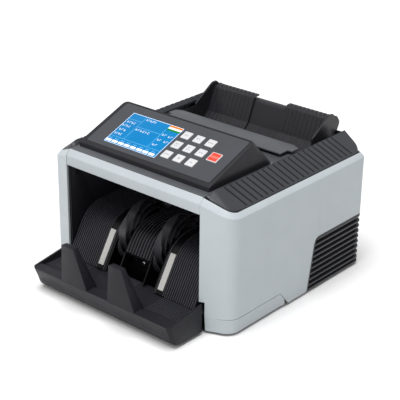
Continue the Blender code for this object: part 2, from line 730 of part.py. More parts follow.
def pickup_shaft():
    """Shaft turned in one piece with its own pulley."""
    profile = [(-121.0, SHAFT_R)] + [(PULLEY_X[0] - 1.5, SHAFT_R)] + pulley_profile(PULLEY_R["pickup"])
    profile += [(PULLEY_X[1] + 1.5, SHAFT_R), (106.0, SHAFT_R)]
    return turned_x("pickup_shaft", profile, PICKUP_AXIS, "steel", steps=20)


def roller(name, side, axis, radius):
    x0, x1 = sorted((side * 16.0, side * 36.0))
    profile = [(x0, radius - 1.0), (x0 + 1.0, radius), (x1 - 1.0, radius), (x1, radius - 1.0)]
    return turned_x(name, profile, axis, "rubber", bore=SHAFT_R + GAP)


def pulley(name, axis, radius):
    return turned_x(name, pulley_profile(radius), axis, "steel", bore=SHAFT_R + GAP, steps=20)


def hull_of_circles(circles, grow, steps=40):
    """Convex outline round circles given as (y, z, radius), each grown by the same amount."""
    points = []
    for y, z, radius in circles:
        for i in range(steps):
            turn = math.tau * i / steps
            points.append((y + (radius + grow) * math.cos(turn), z + (radius + grow) * math.sin(turn)))
    points.sort()

    def half(order):
        chain = []
        for p in order:
            while len(chain) > 1:
                a, b = chain[-2], chain[-1]
                if (b[0] - a[0]) * (p[1] - a[1]) - (b[1] - a[1]) * (p[0] - a[0]) > 1e-9:
                    break
                chain.pop()
            chain.append(p)
        return chain[:-1]

    return half(points) + half(points[::-1])


def drive_belt():
    """Flat belt round the motor, stacker, feed and pickup pulleys."""
    axes = {"motor": MOTOR_AXIS, "stacker": STACKER_AXIS, "feed": FEED_AXIS, "pickup": PICKUP_AXIS}
    circles = [(*axes[name], PULLEY_R[name]) for name in axes]
    inner = hull_of_circles(circles, 0.35)
    outer = hull_of_circles(circles, 1.55)
    x0, x1 = PULLEY_X
    return loft("drive_belt", [
        [(x0 + 0.2, *p) for p in outer], [(x1 - 0.2, *p) for p in outer],
        [(x1 - 0.2, *p) for p in inner], [(x0 + 0.2, *p) for p in inner],
    ], "rubber", ring=True)


def main_motor():
    y, z = MOTOR_AXIS
    motor = turned_x("main_motor", [(-97.0, 22.0), (-95.0, 25.0), (-34.0, 25.0), (-31.0, 21.0)], (y, z), "steel",
                     origin=(0.0, 0.0, 0.0))
    return motor


def sensor_bar():
    """Sensor housing over the note path; it also closes the stacker pocket towards the rear."""
    profile = [(100.0, 97.0), (100.0, 154.0), (103.0, 154.0), (103.0, 112.0), (164.0, 130.0), (166.0, 124.0)]
    return extrude_x("sensor_bar", profile, -FRAME_X + GAP, FRAME_X - GAP, "black_plastic")


def power_rocker():
    """Rocker of the mains switch, tilted to its off position, hinged across its middle."""
    pivot = (-23.0, DEPTH - 8.5, 41.0)
    half = 9.6
    face = [(-half, 4.6), (0.0, 6.6), (half, 8.2), (half, 2.0), (0.0, -4.0), (-half, 2.0)]
    profile = [(pivot[1] + out, pivot[2] + up) for up, out in face]
    return extrude_x("power_rocker", profile, pivot[0] - 5.4, pivot[0] + 5.4, "black_plastic", origin=pivot)


# ---------------------------------------------------------------- assembly

def clear_scene():
    for item in list(bpy.data.objects):
        bpy.data.objects.remove(item, do_unlink=True)


def add_frame():
    frame = bpy.data.objects.new("machine_frame", None)
    frame.location = (0.0, (FRONT_REACH - REAR_REACH) / 2 * MM, 0.0)
    bpy.context.scene.collection.objects.link(frame)


def build_casing():
    base_pan()
    front_bezel()
    top_deck()
    rear_panel()
    for name, side in (("left", -1), ("right", 1)):
        side_cover(f"{name}_side_cover", side)
        shoulder_panel(f"{name}_shoulder_panel", side)
        vent_grille(f"{name}_vent_grille", side)
        frame_plate(f"{name}_frame_plate", side)
        foot(f"{name}_front_foot", side * 115.0, 28.0)
        foot(f"{name}_rear_foot", side * 115.0, 238.0)
    box("power_inlet", (-65.7, DEPTH - 28.0, 30.3), (-38.3, DEPTH - 1.0, 51.7), "black_plastic")
    power_rocker()


def build_head():
    head_housing()
    head_fascia()
    lcd_screen()
    for place in key_places():
        key(*place)
    bridge_cover()


def build_hopper():
    hopper_bed()
    for name, side in (("left", -1), ("right", 1)):
        hopper_guide(f"{name}_hopper_guide", side)
        rack(f"{name}_guide_rack", side)
    guide_pinion()
    turned_x("guide_rail", [(-FRAME_X + GAP, 3.0), (FRAME_X - GAP, 3.0)], RAIL_AXIS, "steel", steps=16)


def build_stacker():
    stacker_back_plate()
    stacker_tray()
    for name, side in (("left", -1), ("right", 1)):
        wear_strip(f"{name}_wear_strip", side)
        stacker_wheel(f"{name}_stacker_wheel", side)
    cross_shaft("stacker_shaft", STACKER_AXIS, -121.0, 106.0)


def build_drive():
    cross_shaft("feed_shaft", FEED_AXIS, -121.0, 106.0)
    pickup_shaft()
    for name, side in (("left", -1), ("right", 1)):
        roller(f"{name}_feed_roller", side, FEED_AXIS, FEED_ROLLER_R)
        roller(f"{name}_pickup_roller", side, PICKUP_AXIS, PICKUP_ROLLER_R)
    pulley("feed_pulley", FEED_AXIS, PULLEY_R["feed"])
    pulley("stacker_pulley", STACKER_AXIS, PULLEY_R["stacker"])
    turned_x("motor_pulley", [(-121.0, 3.0), (-119.5, 3.0), (-119.5, 9.6), (-118.3, 9.6), (-118.3, PULLEY_R["motor"]),
                              (-107.7, PULLEY_R["motor"]), (-107.7, 9.6), (-106.5, 9.6), (-106.5, 2.7), (-97.4, 2.7)],
             MOTOR_AXIS, "steel", steps=20)
    drive_belt()
    main_motor()
    box("power_supply", (18.0, 150.0, 8.0), (95.0, 215.0, 62.0), "steel")
    box("control_board", (108.0, 60.0, 30.0), (109.6, 150.0, 130.0), "board_green")
    sensor_bar()


clear_scene()
add_frame()
build_casing()
build_head()
build_hopper()
build_stacker()
build_drive()
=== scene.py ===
import json
import math

import bmesh
import bpy
from mathutils import Matrix, Vector


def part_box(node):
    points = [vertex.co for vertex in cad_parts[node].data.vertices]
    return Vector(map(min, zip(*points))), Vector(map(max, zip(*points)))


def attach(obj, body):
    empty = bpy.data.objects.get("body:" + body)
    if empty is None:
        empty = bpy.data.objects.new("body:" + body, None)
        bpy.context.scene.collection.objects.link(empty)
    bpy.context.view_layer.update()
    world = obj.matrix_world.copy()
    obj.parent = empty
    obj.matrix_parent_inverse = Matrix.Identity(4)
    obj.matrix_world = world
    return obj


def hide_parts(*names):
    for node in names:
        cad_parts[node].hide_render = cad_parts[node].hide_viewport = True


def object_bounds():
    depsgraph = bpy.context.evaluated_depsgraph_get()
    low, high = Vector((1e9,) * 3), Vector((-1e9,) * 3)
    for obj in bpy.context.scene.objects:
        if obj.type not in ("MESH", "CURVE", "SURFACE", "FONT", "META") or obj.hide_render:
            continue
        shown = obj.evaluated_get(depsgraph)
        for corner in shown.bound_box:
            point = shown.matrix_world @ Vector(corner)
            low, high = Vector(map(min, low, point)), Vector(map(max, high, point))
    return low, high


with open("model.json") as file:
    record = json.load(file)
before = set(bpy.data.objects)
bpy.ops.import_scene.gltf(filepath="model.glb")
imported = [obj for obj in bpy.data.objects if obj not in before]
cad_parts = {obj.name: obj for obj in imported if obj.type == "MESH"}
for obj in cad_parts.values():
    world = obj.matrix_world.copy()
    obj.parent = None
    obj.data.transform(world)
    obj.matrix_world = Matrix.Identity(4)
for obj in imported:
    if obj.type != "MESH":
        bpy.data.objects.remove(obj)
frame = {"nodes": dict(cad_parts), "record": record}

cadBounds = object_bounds()
mm = 0.001
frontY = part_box("front_bezel")[0].y          # depth zero is the face of the front bezel
nodeBody = {n: body for body, names in frame["record"]["behaviour"]["bodies"].items() for n in names}
sides = (("left", -1), ("right", 1))


def place(x, y, z):
    # every shape is in millimetres: X across, Y back from the bezel's face, Z up
    return Vector((x * mm, frontY + y * mm, z * mm))


def boxOf(node):
    # lowest and highest corner of a CAD node in millimetres
    low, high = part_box(node)
    return tuple(Vector((p.x, p.y - frontY, p.z)) / mm for p in (low, high))


def roundedPath(corners, radii, steps=6):
    # open line through the corners, with an arc wherever a radius is given
    path = [tuple(corners[0])]
    for before, here, after, radius in zip(corners, corners[1:], corners[2:], radii[1:]):
        a = Vector(before) - Vector(here)
        b = Vector(after) - Vector(here)
        angle = a.angle(b)
        if radius <= 0 or angle > math.pi - 0.01:
            path.append(tuple(here))
            continue
        halfway = (a.normalized() + b.normalized()).normalized()
        centre = Vector(here) + halfway * (radius / math.sin(angle / 2))
        reach = radius / math.tan(angle / 2)
        start = Vector(here) + a.normalized() * reach - centre
        end = Vector(here) + b.normalized() * reach - centre
        sweep = start.angle_signed(end)
        for i in range(steps + 1):
            turn = math.atan2(start.y, start.x) - sweep * i / steps
            path.append((centre.x + radius * math.cos(turn), centre.y + radius * math.sin(turn)))
    path.append(tuple(corners[-1]))
    return path


def roundedLoop(corners, radii, steps=4):
    # the same for a closed outline
    closed = [corners[-1]] + list(corners) + [corners[0]]
    return roundedPath(closed, [0] + list(radii) + [0], steps)[1:-1]


def roundedRect(u0, v0, u1, v1, front, back=None, steps=5):
    back = front if back is None else back
    return roundedLoop([(u0, v0), (u1, v0), (u1, v1), (u0, v1)], [front, front, back, back], steps)


def moved(corners, inset):
    # corners of an open line, moved to its left
    lines = []
    for a, b in zip(corners, corners[1:]):
        run = (Vector(b) - Vector(a)).normalized()
        lines.append((Vector(a) + Vector((-run.y, run.x)) * inset, run))
    result = [tuple(lines[0][0])]
    for (p, d), (q, e) in zip(lines, lines[1:]):
        along = ((q - p).x * e.y - (q - p).y * e.x) / (d.x * e.y - d.y * e.x)
        result.append(tuple(p + d * along))
    run = lines[-1][1]
    result.append(tuple(Vector(corners[-1]) + Vector((-run.y, run.x)) * inset))
    return result


def movedPath(corners, radii, inset, steps=8):
    # rounded line moved to its left, its arcs kept concentric
    turns = [0.0] * len(corners)
    for i in range(1, len(corners) - 1):
        a = Vector(corners[i]) - Vector(corners[i - 1])
        b = Vector(corners[i + 1]) - Vector(corners[i])
        turns[i] = radii[i] + (-inset if a.x * b.y - a.y * b.x > 0 else inset)
    return roundedPath(moved(corners, inset), turns, steps)


def skin(sections, ring=False):
    # closed body through a row of equal closed sections
    count = len(sections[0])
    points = [p for section in sections for p in section]
    faces = []
    for s in range(len(sections) - (0 if ring else 1)):
        here, there = s * count, (s + 1) % len(sections) * count
        for i in range(count):
            j = (i + 1) % count
            faces.append((here + i, here + j, there + j, there + i))
    if not ring:
        faces += [tuple(range(count)), tuple(range(len(points) - count, len(points)))]
    return points, faces


def evenly(low, high, count):
    return [low + (high - low) * k / (count - 1) for k in range(count)]


def alongX(profile, x0, x1):
    return skin([[(x, y, z) for y, z in profile] for x in (x0, x1)])


def alongY(profile, y0, y1):
    return skin([[(x, y, z) for x, z in profile] for y in (y0, y1)])


def alongZ(outline, z0, z1):
    return skin([[(x, y, z) for x, y in outline] for z in (z0, z1)])


def block(x0, y0, z0, x1, y1, z1):
    return alongZ([(x0, y0), (x1, y0), (x1, y1), (x0, y1)], z0, z1)


def turned(profile, centre, axis, bore=0.0, steps=32):
    # (distance along the axis, radius) turned round an axis along x, y or z
    index = "xyz".index(axis)
    rows = list(profile) + ([(profile[-1][0], bore), (profile[0][0], bore)] if bore else [])
    sections = []
    for along, radius in rows:
        ring = []
        for i in range(steps):
            turn = math.tau * i / steps
            p = [radius * math.cos(turn), radius * math.sin(turn)]
            p.insert(index, along)
            ring.append(tuple(c + q for c, q in zip(centre, p)))
        sections.append(ring)
    return skin(sections, ring=bool(bore))


def flipped(shape, side):
    points, faces = shape
    return [(side * p[0], p[1], p[2]) for p in points], faces


def makePiece(name, shapes, finishes, smooth=38):
    # one object from (shape, finish number) pairs or plain shapes
    points, faces, indices = [], [], []
    for entry in shapes:
        (p, f), index = entry if isinstance(entry[1], int) else (entry, 0)
        start = len(points)
        points += p
        faces += [tuple(start + i for i in face) for face in f]
        indices += [index] * len(f)
    mesh = bpy.data.meshes.new(name)
    mesh.from_pydata([place(*p) for p in points], [], faces)
    mesh.polygons.foreach_set("material_index", indices)
    work = bmesh.new()
    work.from_mesh(mesh)
    bmesh.ops.remove_doubles(work, verts=work.verts, dist=0.0000005)
    bmesh.ops.recalc_face_normals(work, faces=work.faces)
    work.to_mesh(mesh)
    work.free()
    for finish in finishes:
        mesh.materials.append(finishOf(finish))
    mesh.shade_smooth()
    mesh.set_sharp_from_angle(angle=math.radians(smooth))
    piece = bpy.data.objects.new(name, mesh)
    bpy.context.scene.collection.objects.link(piece)
    return piece


def roundEdges(piece, width, steps=2, angle=30):
    bevel = piece.modifiers.new("roundEdges", "BEVEL")
    bevel.width = width * mm
    bevel.segments = steps
    bevel.limit_method = "ANGLE"
    bevel.angle_limit = math.radians(angle)
    bevel.harden_normals = True
    piece.data.shade_smooth()
    return piece


def carve(piece, *shapes):
    # cut closed shapes out of a piece and keep the result as its mesh
    for shape in shapes:
        cutter = makePiece("cutter", [shape], [])
        step = piece.modifiers.new("carve", "BOOLEAN")
        step.operation = "DIFFERENCE"
        step.solver = "EXACT"
        step.object = cutter
        fresh = bpy.data.meshes.new_from_object(piece.evaluated_get(bpy.context.evaluated_depsgraph_get()))
        piece.modifiers.clear()
        piece.data = fresh
        bpy.data.objects.remove(cutter)
    piece.data.set_sharp_from_angle(angle=math.radians(38))
    return piece


def settle(piece, node, *more):
    # the piece stands for these CAD nodes and moves with the first one's body
    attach(piece, nodeBody[node])
    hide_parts(node, *more)
    return piece


def addTo(piece, node):
    # a further piece on the same body, which replaces nothing
    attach(piece, nodeBody[node])
    return piece


def recut(node, finish, width, steps=2, angle=30, name=None):
    # a CAD node's own shape with flat faces merged and its edges rounded
    work = bmesh.new()
    work.from_mesh(frame["nodes"][node].data)
    bmesh.ops.remove_doubles(work, verts=work.verts, dist=0.000002)
    bmesh.ops.dissolve_limit(work, angle_limit=math.radians(1), verts=work.verts, edges=work.edges)
    mesh = bpy.data.meshes.new(name or node)
    work.to_mesh(mesh)
    work.free()
    mesh.materials.append(finishOf(finish))
    piece = bpy.data.objects.new(name or node + "_made", mesh)
    bpy.context.scene.collection.objects.link(piece)
    return roundEdges(piece, width, steps, angle)


finishes = {
    # colour as 0-255, roughness, grain size and depth in mm, share by which the tone drifts, shine
    "shellGrey": ((163, 170, 174), 0.42, 0.35, 0.012, 0.03, 0.5),
    "bezelGrey": ((161, 167, 171), 0.4, 0.35, 0.012, 0.03, 0.5),
    "charcoal": ((30, 30, 34), 0.42, 0.4, 0.03, 0.07, 0.25),
    "deckCharcoal": ((70, 72, 76), 0.4, 0.4, 0.03, 0.07, 0.45),
    "shoulderCharcoal": ((50, 51, 55), 0.42, 0.4, 0.03, 0.07, 0.35),
    # near-black plastic, such as the rocker and the strips' dark ends, and also painted shade in grooves,
    # screw recesses, vent slots and behind the grille slats
    "blackAndPaintedShade": ((8, 8, 10), 0.6, 0.4, 0.03, 0.05, 0.2),
    "fasciaFilm": ((60, 62, 66), 0.55, 0.25, 0.008, 0.04, 0.2),
    "trayCharcoal": ((31, 31, 35), 0.42, 0.4, 0.03, 0.07, 0.15),
    # painted highlight: a lighter charcoal than the tray for its ribs, beads and raised lines, for the light
    # they catch
    "trayRib": ((56, 56, 62), 0.36, 0.4, 0.01, 0.06, 0.4),
    "hopperCharcoal": ((31, 31, 35), 0.32, 0.4, 0.03, 0.08, 0.35),
    "plateBlack": ((9, 9, 11), 0.3, 0.5, 0.02, 0.08, 0.3),
    # painted highlight: a much lighter grey than the black plate, for the light the plate's raised ribs
    # catch
    "ribHighlightGrey": ((58, 58, 64), 0.34, 0.5, 0.01, 0.08, 0.4),
    "innerBlack": ((26, 26, 30), 0.4, 0.5, 0.02, 0.08, 0.3),
    "wheelGrey": ((42, 42, 46), 0.3, 0.4, 0.02, 0.06, 0.5),
    "ventBlack": ((46, 47, 51), 0.34, 0.35, 0.02, 0.06, 0.3),
    "keyWhite": ((186, 186, 188), 0.4, 0.3, 0.008, 0.02, 0.4),
    "keyRed": ((212, 62, 46), 0.4, 0.3, 0.008, 0.04, 0.3),
    "keyPink": ((214, 124, 112), 0.42, 0.3, 0.006, 0.04, 0.3),
    "keyInk": ((84, 85, 90), 0.5, 0.2, 0.004, 0.1, 0.3),
    "stripWhite": ((172, 171, 168), 0.5, 0.5, 0.015, 0.05, 0.4),
    "rubber": ((26, 26, 27), 0.78, 0.3, 0.05, 0.12, 0.3),
}
glows = {
    # printed or lit surfaces of the display: colour, share of its own light
    "screenBlue": ((0, 100, 152), 0.32),
    "screenWhite": ((205, 210, 214), 0.4),
    "screenPale": ((96, 158, 196), 0.3),
    "screenOrange": ((192, 100, 22), 0.25),
    "screenGreen": ((14, 104, 42), 0.25),
}
madeFinishes = {}


def linear(colour):
    # from 0-255 display values to the shader's own scale
    shares = [c / 255 for c in colour]
    return tuple(s / 12.92 if s <= 0.04045 else ((s + 0.055) / 1.055) ** 2.4 for s in shares)


def newMaterial(name):
    material = bpy.data.materials.new(name)
    material.use_nodes = True
    tree = material.node_tree
    shader = tree.nodes["Principled BSDF"]
    return material, tree, shader


def noiseNode(tree, size, detail=2.0, stretch=None):
    # noise with features of this size in metres
    where = tree.nodes.new("ShaderNodeTexCoord")
    noise = tree.nodes.new("ShaderNodeTexNoise")
    noise.inputs["Scale"].default_value = 1.0 / size
    noise.inputs["Detail"].default_value = detail
    source = where.outputs["Object"]
    if stretch:
        mapping = tree.nodes.new("ShaderNodeMapping")
        mapping.inputs["Scale"].default_value = stretch
        tree.links.new(source, mapping.inputs["Vector"])
        source = mapping.outputs["Vector"]
    tree.links.new(source, noise.inputs["Vector"])
    return noise.outputs["Fac"]


def rangeNode(tree, value, low, high, fromLow=0.3, fromHigh=0.7):
    node = tree.nodes.new("ShaderNodeMapRange")
    node.inputs["From Min"].default_value = fromLow
    node.inputs["From Max"].default_value = fromHigh
    node.inputs["To Min"].default_value = low
    node.inputs["To Max"].default_value = high
    tree.links.new(value, node.inputs["Value"])
    return node.outputs["Result"]


def tintNode(tree, value, dark, light):
    node = tree.nodes.new("ShaderNodeMix")
    node.data_type = "RGBA"
    node.inputs["A"].default_value = (*dark, 1)
    node.inputs["B"].default_value = (*light, 1)
    tree.links.new(value, node.inputs["Factor"])
    return node.outputs["Result"]


def bumpNode(tree, height, depth, strength=0.6):
    node = tree.nodes.new("ShaderNodeBump")
    node.inputs["Strength"].default_value = strength
    node.inputs["Distance"].default_value = depth
    tree.links.new(height, node.inputs["Height"])
    return node.outputs["Normal"]


def plastic(name, spec):
    # moulded plastic: fine spark grain, slow drift of tone, handled patches that shine a little more
    material, tree, shader = newMaterial(name)
    colour, rough, grain, depth, drift, shine = spec
    base = linear(colour)
    slow = rangeNode(tree, noiseNode(tree, 0.045, 3.0), 0, 1)
    tint = tintNode(tree, slow, [c * (1 - drift) for c in base], [min(1, c * (1 + drift)) for c in base])
    tree.links.new(tint, shader.inputs["Base Color"])
    patches = noiseNode(tree, 0.012, 4.0)
    tree.links.new(rangeNode(tree, patches, rough + 0.05, rough - 0.05), shader.inputs["Roughness"])
    spark = noiseNode(tree, grain * mm, 2.0)
    tree.links.new(bumpNode(tree, spark, depth * mm), shader.inputs["Normal"])
    shader.inputs["Specular IOR Level"].default_value = shine
    return material


def glow(name, spec):
    # display layer with some light of its own and a fairly smooth surface
    material, tree, shader = newMaterial(name)
    colour, ownLight = spec
    base = linear(colour)
    cloud = rangeNode(tree, noiseNode(tree, 0.03, 2.0), 0, 1)
    tint = tintNode(tree, cloud, [c * 0.95 for c in base], [min(1, c * 1.04) for c in base])
    tree.links.new(tint, shader.inputs["Base Color"])
    tree.links.new(tint, shader.inputs["Emission Color"])
    shader.inputs["Emission Strength"].default_value = ownLight
    tree.links.new(rangeNode(tree, noiseNode(tree, 0.004), 0.22, 0.3), shader.inputs["Roughness"])
    shader.inputs["Specular IOR Level"].default_value = 0.15
    return material


def steel(name, colour, rough, stretch):
    # ground metal with fine lines across one direction
    material, tree, shader = newMaterial(name)
    base = linear(colour)
    lines = noiseNode(tree, 0.0006, 3.0, stretch)
    tint = tintNode(tree, rangeNode(tree, lines, 0, 1), [c * 0.86 for c in base], base)
    tree.links.new(tint, shader.inputs["Base Color"])
    tree.links.new(rangeNode(tree, lines, rough - 0.08, rough + 0.1), shader.inputs["Roughness"])
    tree.links.new(bumpNode(tree, lines, 0.004 * mm, 0.4), shader.inputs["Normal"])
    shader.inputs["Metallic"].default_value = 1.0
    return material


def circuitBoard(name):
    # green solder mask with paler copper runs under it
    material, tree, shader = newMaterial(name)
    where = tree.nodes.new("ShaderNodeTexCoord")
    cells = tree.nodes.new("ShaderNodeTexVoronoi")
    cells.feature = "DISTANCE_TO_EDGE"
    cells.inputs["Scale"].default_value = 160
    tree.links.new(where.outputs["Object"], cells.inputs["Vector"])
    runs = rangeNode(tree, cells.outputs["Distance"], 1, 0, 0.02, 0.06)
    colour = tintNode(tree, runs, linear((18, 84, 44)), linear((52, 132, 66)))
    tree.links.new(colour, shader.inputs["Base Color"])
    tree.links.new(rangeNode(tree, noiseNode(tree, 0.003), 0.28, 0.4), shader.inputs["Roughness"])
    tree.links.new(bumpNode(tree, runs, 0.03 * mm), shader.inputs["Normal"])
    return material


def finishOf(name):
    if name not in madeFinishes:
        if name in glows:
            madeFinishes[name] = glow(name, glows[name])
        elif name == "steel":
            madeFinishes[name] = steel(name, (196, 197, 200), 0.3, (0.05, 1, 1))
        elif name == "darkSteel":
            madeFinishes[name] = steel(name, (120, 122, 126), 0.38, (1, 1, 0.1))
        elif name == "board":
            madeFinishes[name] = circuitBoard(name)
        else:
            madeFinishes[name] = plastic(name, finishes[name])
    return madeFinishes[name]


casing = {
    "halfWidth": boxOf("right_side_cover")[1].x,
    "depth": boxOf("right_side_cover")[1].y,
    "openX": boxOf("right_side_cover")[0].x,
    "frontSlant": 15.0, "rearSlant": (26.0, 10.0), "radii": (0, 19, 10, 9, 0),
    "rim": 5.8, "wall": 2.5, "deckZ": boxOf("top_deck")[1].z, "rimFall": 0.46, "rimDrop": 7.7,
    "rimLift": 1.4,
    "stepZ": 21.6, "lowZ": 3.0, "slantY": (101.0, 117.0), "draft": 1.4,
    "ventTop": 69.8, "ventFoot": 153.0, "ventShoulder": ((163.6, 62.0), (166.5, 67.5), (172.0, 69.8)),
    "notchX": 109.6, "notchZ": 39.2, "fade": (121.0, 131.0),
    "frontStations": (109.59, 109.61, 115.0, 119.0, 123.0, 126.0),
    "sideStations": (101.0, 103.0, 110.0, 117.0, 135.0, 153.0, 156.5, 160.0, 163.6, 165.0, 166.5, 169.0,
                     172.0, 215.0),
}


def shellPath(inset, steps=12):
    # plan outline of the right half, front to rear, with extra stations on the long side
    half, depth, openX = casing["halfWidth"], casing["depth"], casing["openX"]
    back, bite = casing["rearSlant"]
    corners = [(openX, 0), (half, casing["frontSlant"]), (half, depth - bite), (half - back, depth),
               (openX, depth)]
    path = movedPath(corners, casing["radii"], inset, steps)
    slant = casing["frontSlant"] / (half - openX)
    path[0] = (openX, inset * math.hypot(1, slant))
    result = []
    for here, there in zip(path, path[1:]):
        result.append(here)
        if here[1] < depth / 2 and here[0] < 120 < there[0]:
            result += [(x, here[1] + (there[1] - here[1]) * (x - here[0]) / (there[0] - here[0]))
                       for x in casing["frontStations"] if x < there[0] - 0.5]
        if abs(there[0] - here[0]) < 0.01:
            result += [(here[0], y) for y in casing["sideStations"] if here[1] < y < there[1]]
    return result + [path[-1]]


def between(outer, rim, inset, side, z):
    # point at one inset, between a station of the outer outline and the same station of the rim
    share = inset / casing["rim"]
    return side * (outer[0] + (rim[0] - outer[0]) * share), outer[1] + (rim[1] - outer[1]) * share, z


def rimZ(x, y):
    # height of the rim's inner edge, which falls away across the front only
    side = casing["halfWidth"] - casing["rim"]
    reach = abs(x) if y < casing["depth"] / 2 else side
    return casing["deckZ"] - casing["rimFall"] * (reach - casing["openX"])


def slide(value, marks):
    # straight-line reading of a list of (place, value) marks
    if value <= marks[0][0]:
        return marks[0][1]
    for (a, va), (b, vb) in zip(marks, marks[1:]):
        if value <= b:
            return va + (vb - va) * (value - a) / (b - a)
    return marks[-1][1]


def stepLine(x, y):
    # height of the line between side cover and skirt, and how open that joint is
    y0, y1 = casing["slantY"]
    z = slide(y, [(y0, casing["stepZ"]), (y1, casing["lowZ"])])
    return z, (slide(x, [(casing["fade"][0], 0), (casing["fade"][1], 1)]) if y < casing["depth"] / 2 else 1)


def coverFoot(x, y):
    if y < 20 and x < casing["notchX"]:
        return casing["notchZ"], 1
    if y > casing["ventFoot"]:
        marks = [(casing["ventFoot"], casing["lowZ"])] + list(casing["ventShoulder"])
        return slide(y, marks), 1
    return stepLine(x, y)


def sideCover(name, side):
    # both outlines have the same stations, so a point at any inset lies between the two
    outer, rim = shellPath(0), shellPath(casing["rim"])
    sections = []
    for o, r in zip(outer, rim):
        top = rimZ(*r)
        along = (o[0] - casing["openX"]) / (casing["halfWidth"] - casing["openX"])
        low = top - casing["rimDrop"] + casing["rimLift"] * along
        foot, gap = coverFoot(*o)
        corners = [(0, foot), (0, low), (casing["rim"], top), (casing["rim"], top - 3),
                   (casing["wall"], low - 1.2), (casing["wall"], foot)]
        profile = roundedPath(corners, [0, 1.2, 0.6, 0, 0, 0], 4)
        lip = [(0.4 * gap, foot + 0.12 * gap), (0, foot + 0.55 * gap)]
        profile = lip + profile[1:-1] + [(casing["wall"], foot + 0.12 * gap)]
        sections.append([between(o, r, inset, side, z) for inset, z in profile])
    return makePiece(f"sideCover_{name}", [skin(sections)], ["shellGrey"], smooth=34)


def basePan():
    # skirt that carries the side covers' surface down, and the floor plate behind it
    outer, rim = shellPath(0), shellPath(casing["rim"])
    shapes = []
    low = casing["lowZ"]
    for side in (-1, 1):
        sections = []
        for o, r in zip(outer, rim):
            if o[0] < casing["notchX"] or o[1] > casing["slantY"][1] - 0.5:
                continue
            z, gap = stepLine(*o)
            top = z - 0.25 * gap
            drop = casing["draft"] * (z - low) / (casing["stepZ"] - low)
            profile = [(0.4 * gap, top), (0, top - 0.5 * gap), (drop, low + 0.8), (drop + 0.8, low),
                       (drop + 2.4, low), (2.4, top)]
            sections.append([between(o, r, inset, side, h) for inset, h in profile])
        shapes.append((skin(sections), 0))
    half = [(104, 4.5), (110, 6), (134, 17), (136, 24), (136, 118), (132, 124),
            (132, casing["depth"] - 14), (112, casing["depth"] - 8)]
    shapes.append((alongZ(half + [(-x, y) for x, y in reversed(half)], low + 0.2, low + 2.6), 1))
    return settle(makePiece("basePan_made", shapes, ["shellGrey", "innerBlack"], smooth=34), "base_pan")


vent = {"slats": 9, "lip": 1.7, "deep": 3.6, "rearX": 112.5, "edgeGap": 0.5, "edgeSteps": 14}


def ventEdge(z):
    # depth of the slanted front edge at height z
    low, foot = casing["lowZ"], casing["ventFoot"]
    kneeY, kneeZ = casing["ventShoulder"][0]
    lean = foot + (kneeY - foot) * (z - low) / (kneeZ - low)
    if z > kneeZ:
        lean += (casing["ventShoulder"][2][0] - kneeY) * ((z - kneeZ) / (casing["ventTop"] - kneeZ)) ** 2
    return lean + vent["edgeGap"]


def ventBand(profile, side, start=0.0):
    # a strip of the grille: runs back from the slanted edge and round the rear corner
    outer = shellPath(0)
    picked = [i for i, p in enumerate(outer) if p[0] > vent["rearX"] and p[1] > 180]
    rim = shellPath(casing["rim"])
    sections = [[(side * (casing["halfWidth"] - inset), ventEdge(z) + start, z) for inset, z in profile]]
    for i in picked:
        sections.append([between(outer[i], rim[i], inset, side, z) for inset, z in profile])
    return skin(sections)


def ventGrille(name, side):
    low, high = casing["lowZ"] + 0.8, casing["ventTop"] - 0.5
    lip, deep = vent["lip"], vent["deep"]
    # painted shade: the near-black sheet behind the slats stands in for the shade inside the grille
    shapes = [(ventBand([(deep, low), (deep, high), (deep + 1.8, high), (deep + 1.8, low)], side), 1)]
    for z0, z1 in ((low, low + lip), (high - lip, high)):
        band = [(0.1, z0 + 0.3), (0.4, z0), (deep, z0), (deep, z1), (0.4, z1), (0.1, z1 - 0.3)]
        shapes.append((ventBand(band, side), 0))
    sections = []
    x0, x1 = side * (casing["halfWidth"] - 0.1), side * (casing["halfWidth"] - 0.1 - deep)
    for z in evenly(low, high, vent["edgeSteps"] + 1):
        y = ventEdge(z)
        sections.append([(x0, y, z), (x0, y + lip, z), (x1, y + lip, z), (x1, y, z)])
    shapes.append((skin(sections), 0))
    pitch = (high - low - lip * 1.2) / vent["slats"]
    for k in range(vent["slats"]):
        z = low + lip * 0.6 + pitch * k
        slat = [(deep, z + pitch * 0.95), (0.5, z + pitch * 0.92), (0.0, z + pitch * 0.84),
                (0.0, z + pitch * 0.68), (0.3, z + pitch * 0.6), (deep, z + pitch * 0.66)]
        shapes.append((ventBand(slat, side, start=lip * 0.8), 0))
    return makePiece(f"ventGrille_{name}", shapes, ["ventBlack", "blackAndPaintedShade"], smooth=30)


shoulder = {
    "ridge": (107.6, boxOf("right_shoulder_panel")[1].z), "fullAt": 22.0, "slantFrom": 18.0,
    "grooves": 22, "first": 32.5, "last": 231.0, "slant": 11.5, "grooveWidth": 2.5, "grooveDepth": 1.5,
    "grooveFrom": 108.0, "border": 1.1, "gap": 0.75, "cornerRadius": 10.5, "endY": 261.0,
}


def shoulderHeights(x, y, lowZ, startY):
    # heights of the panel's ridge and outer edge at one station
    side = casing["halfWidth"] - casing["rim"]
    share = min(1, max(0, (y - startY) / (shoulder["fullAt"] - startY)))
    share = share * (2 - share)
    ridgeX = min(shoulder["ridge"][0], x - 0.6)
    start = rimZ(ridgeX, 0)
    ridge = start + (shoulder["ridge"][1] - start) * share
    edge = rimZ(x, y)
    if y > casing["depth"] / 2:
        edge = lowZ + (shoulder["ridge"][1] - lowZ) * (side - x) / (side - shoulder["ridge"][0])
    return ridgeX, ridge, edge


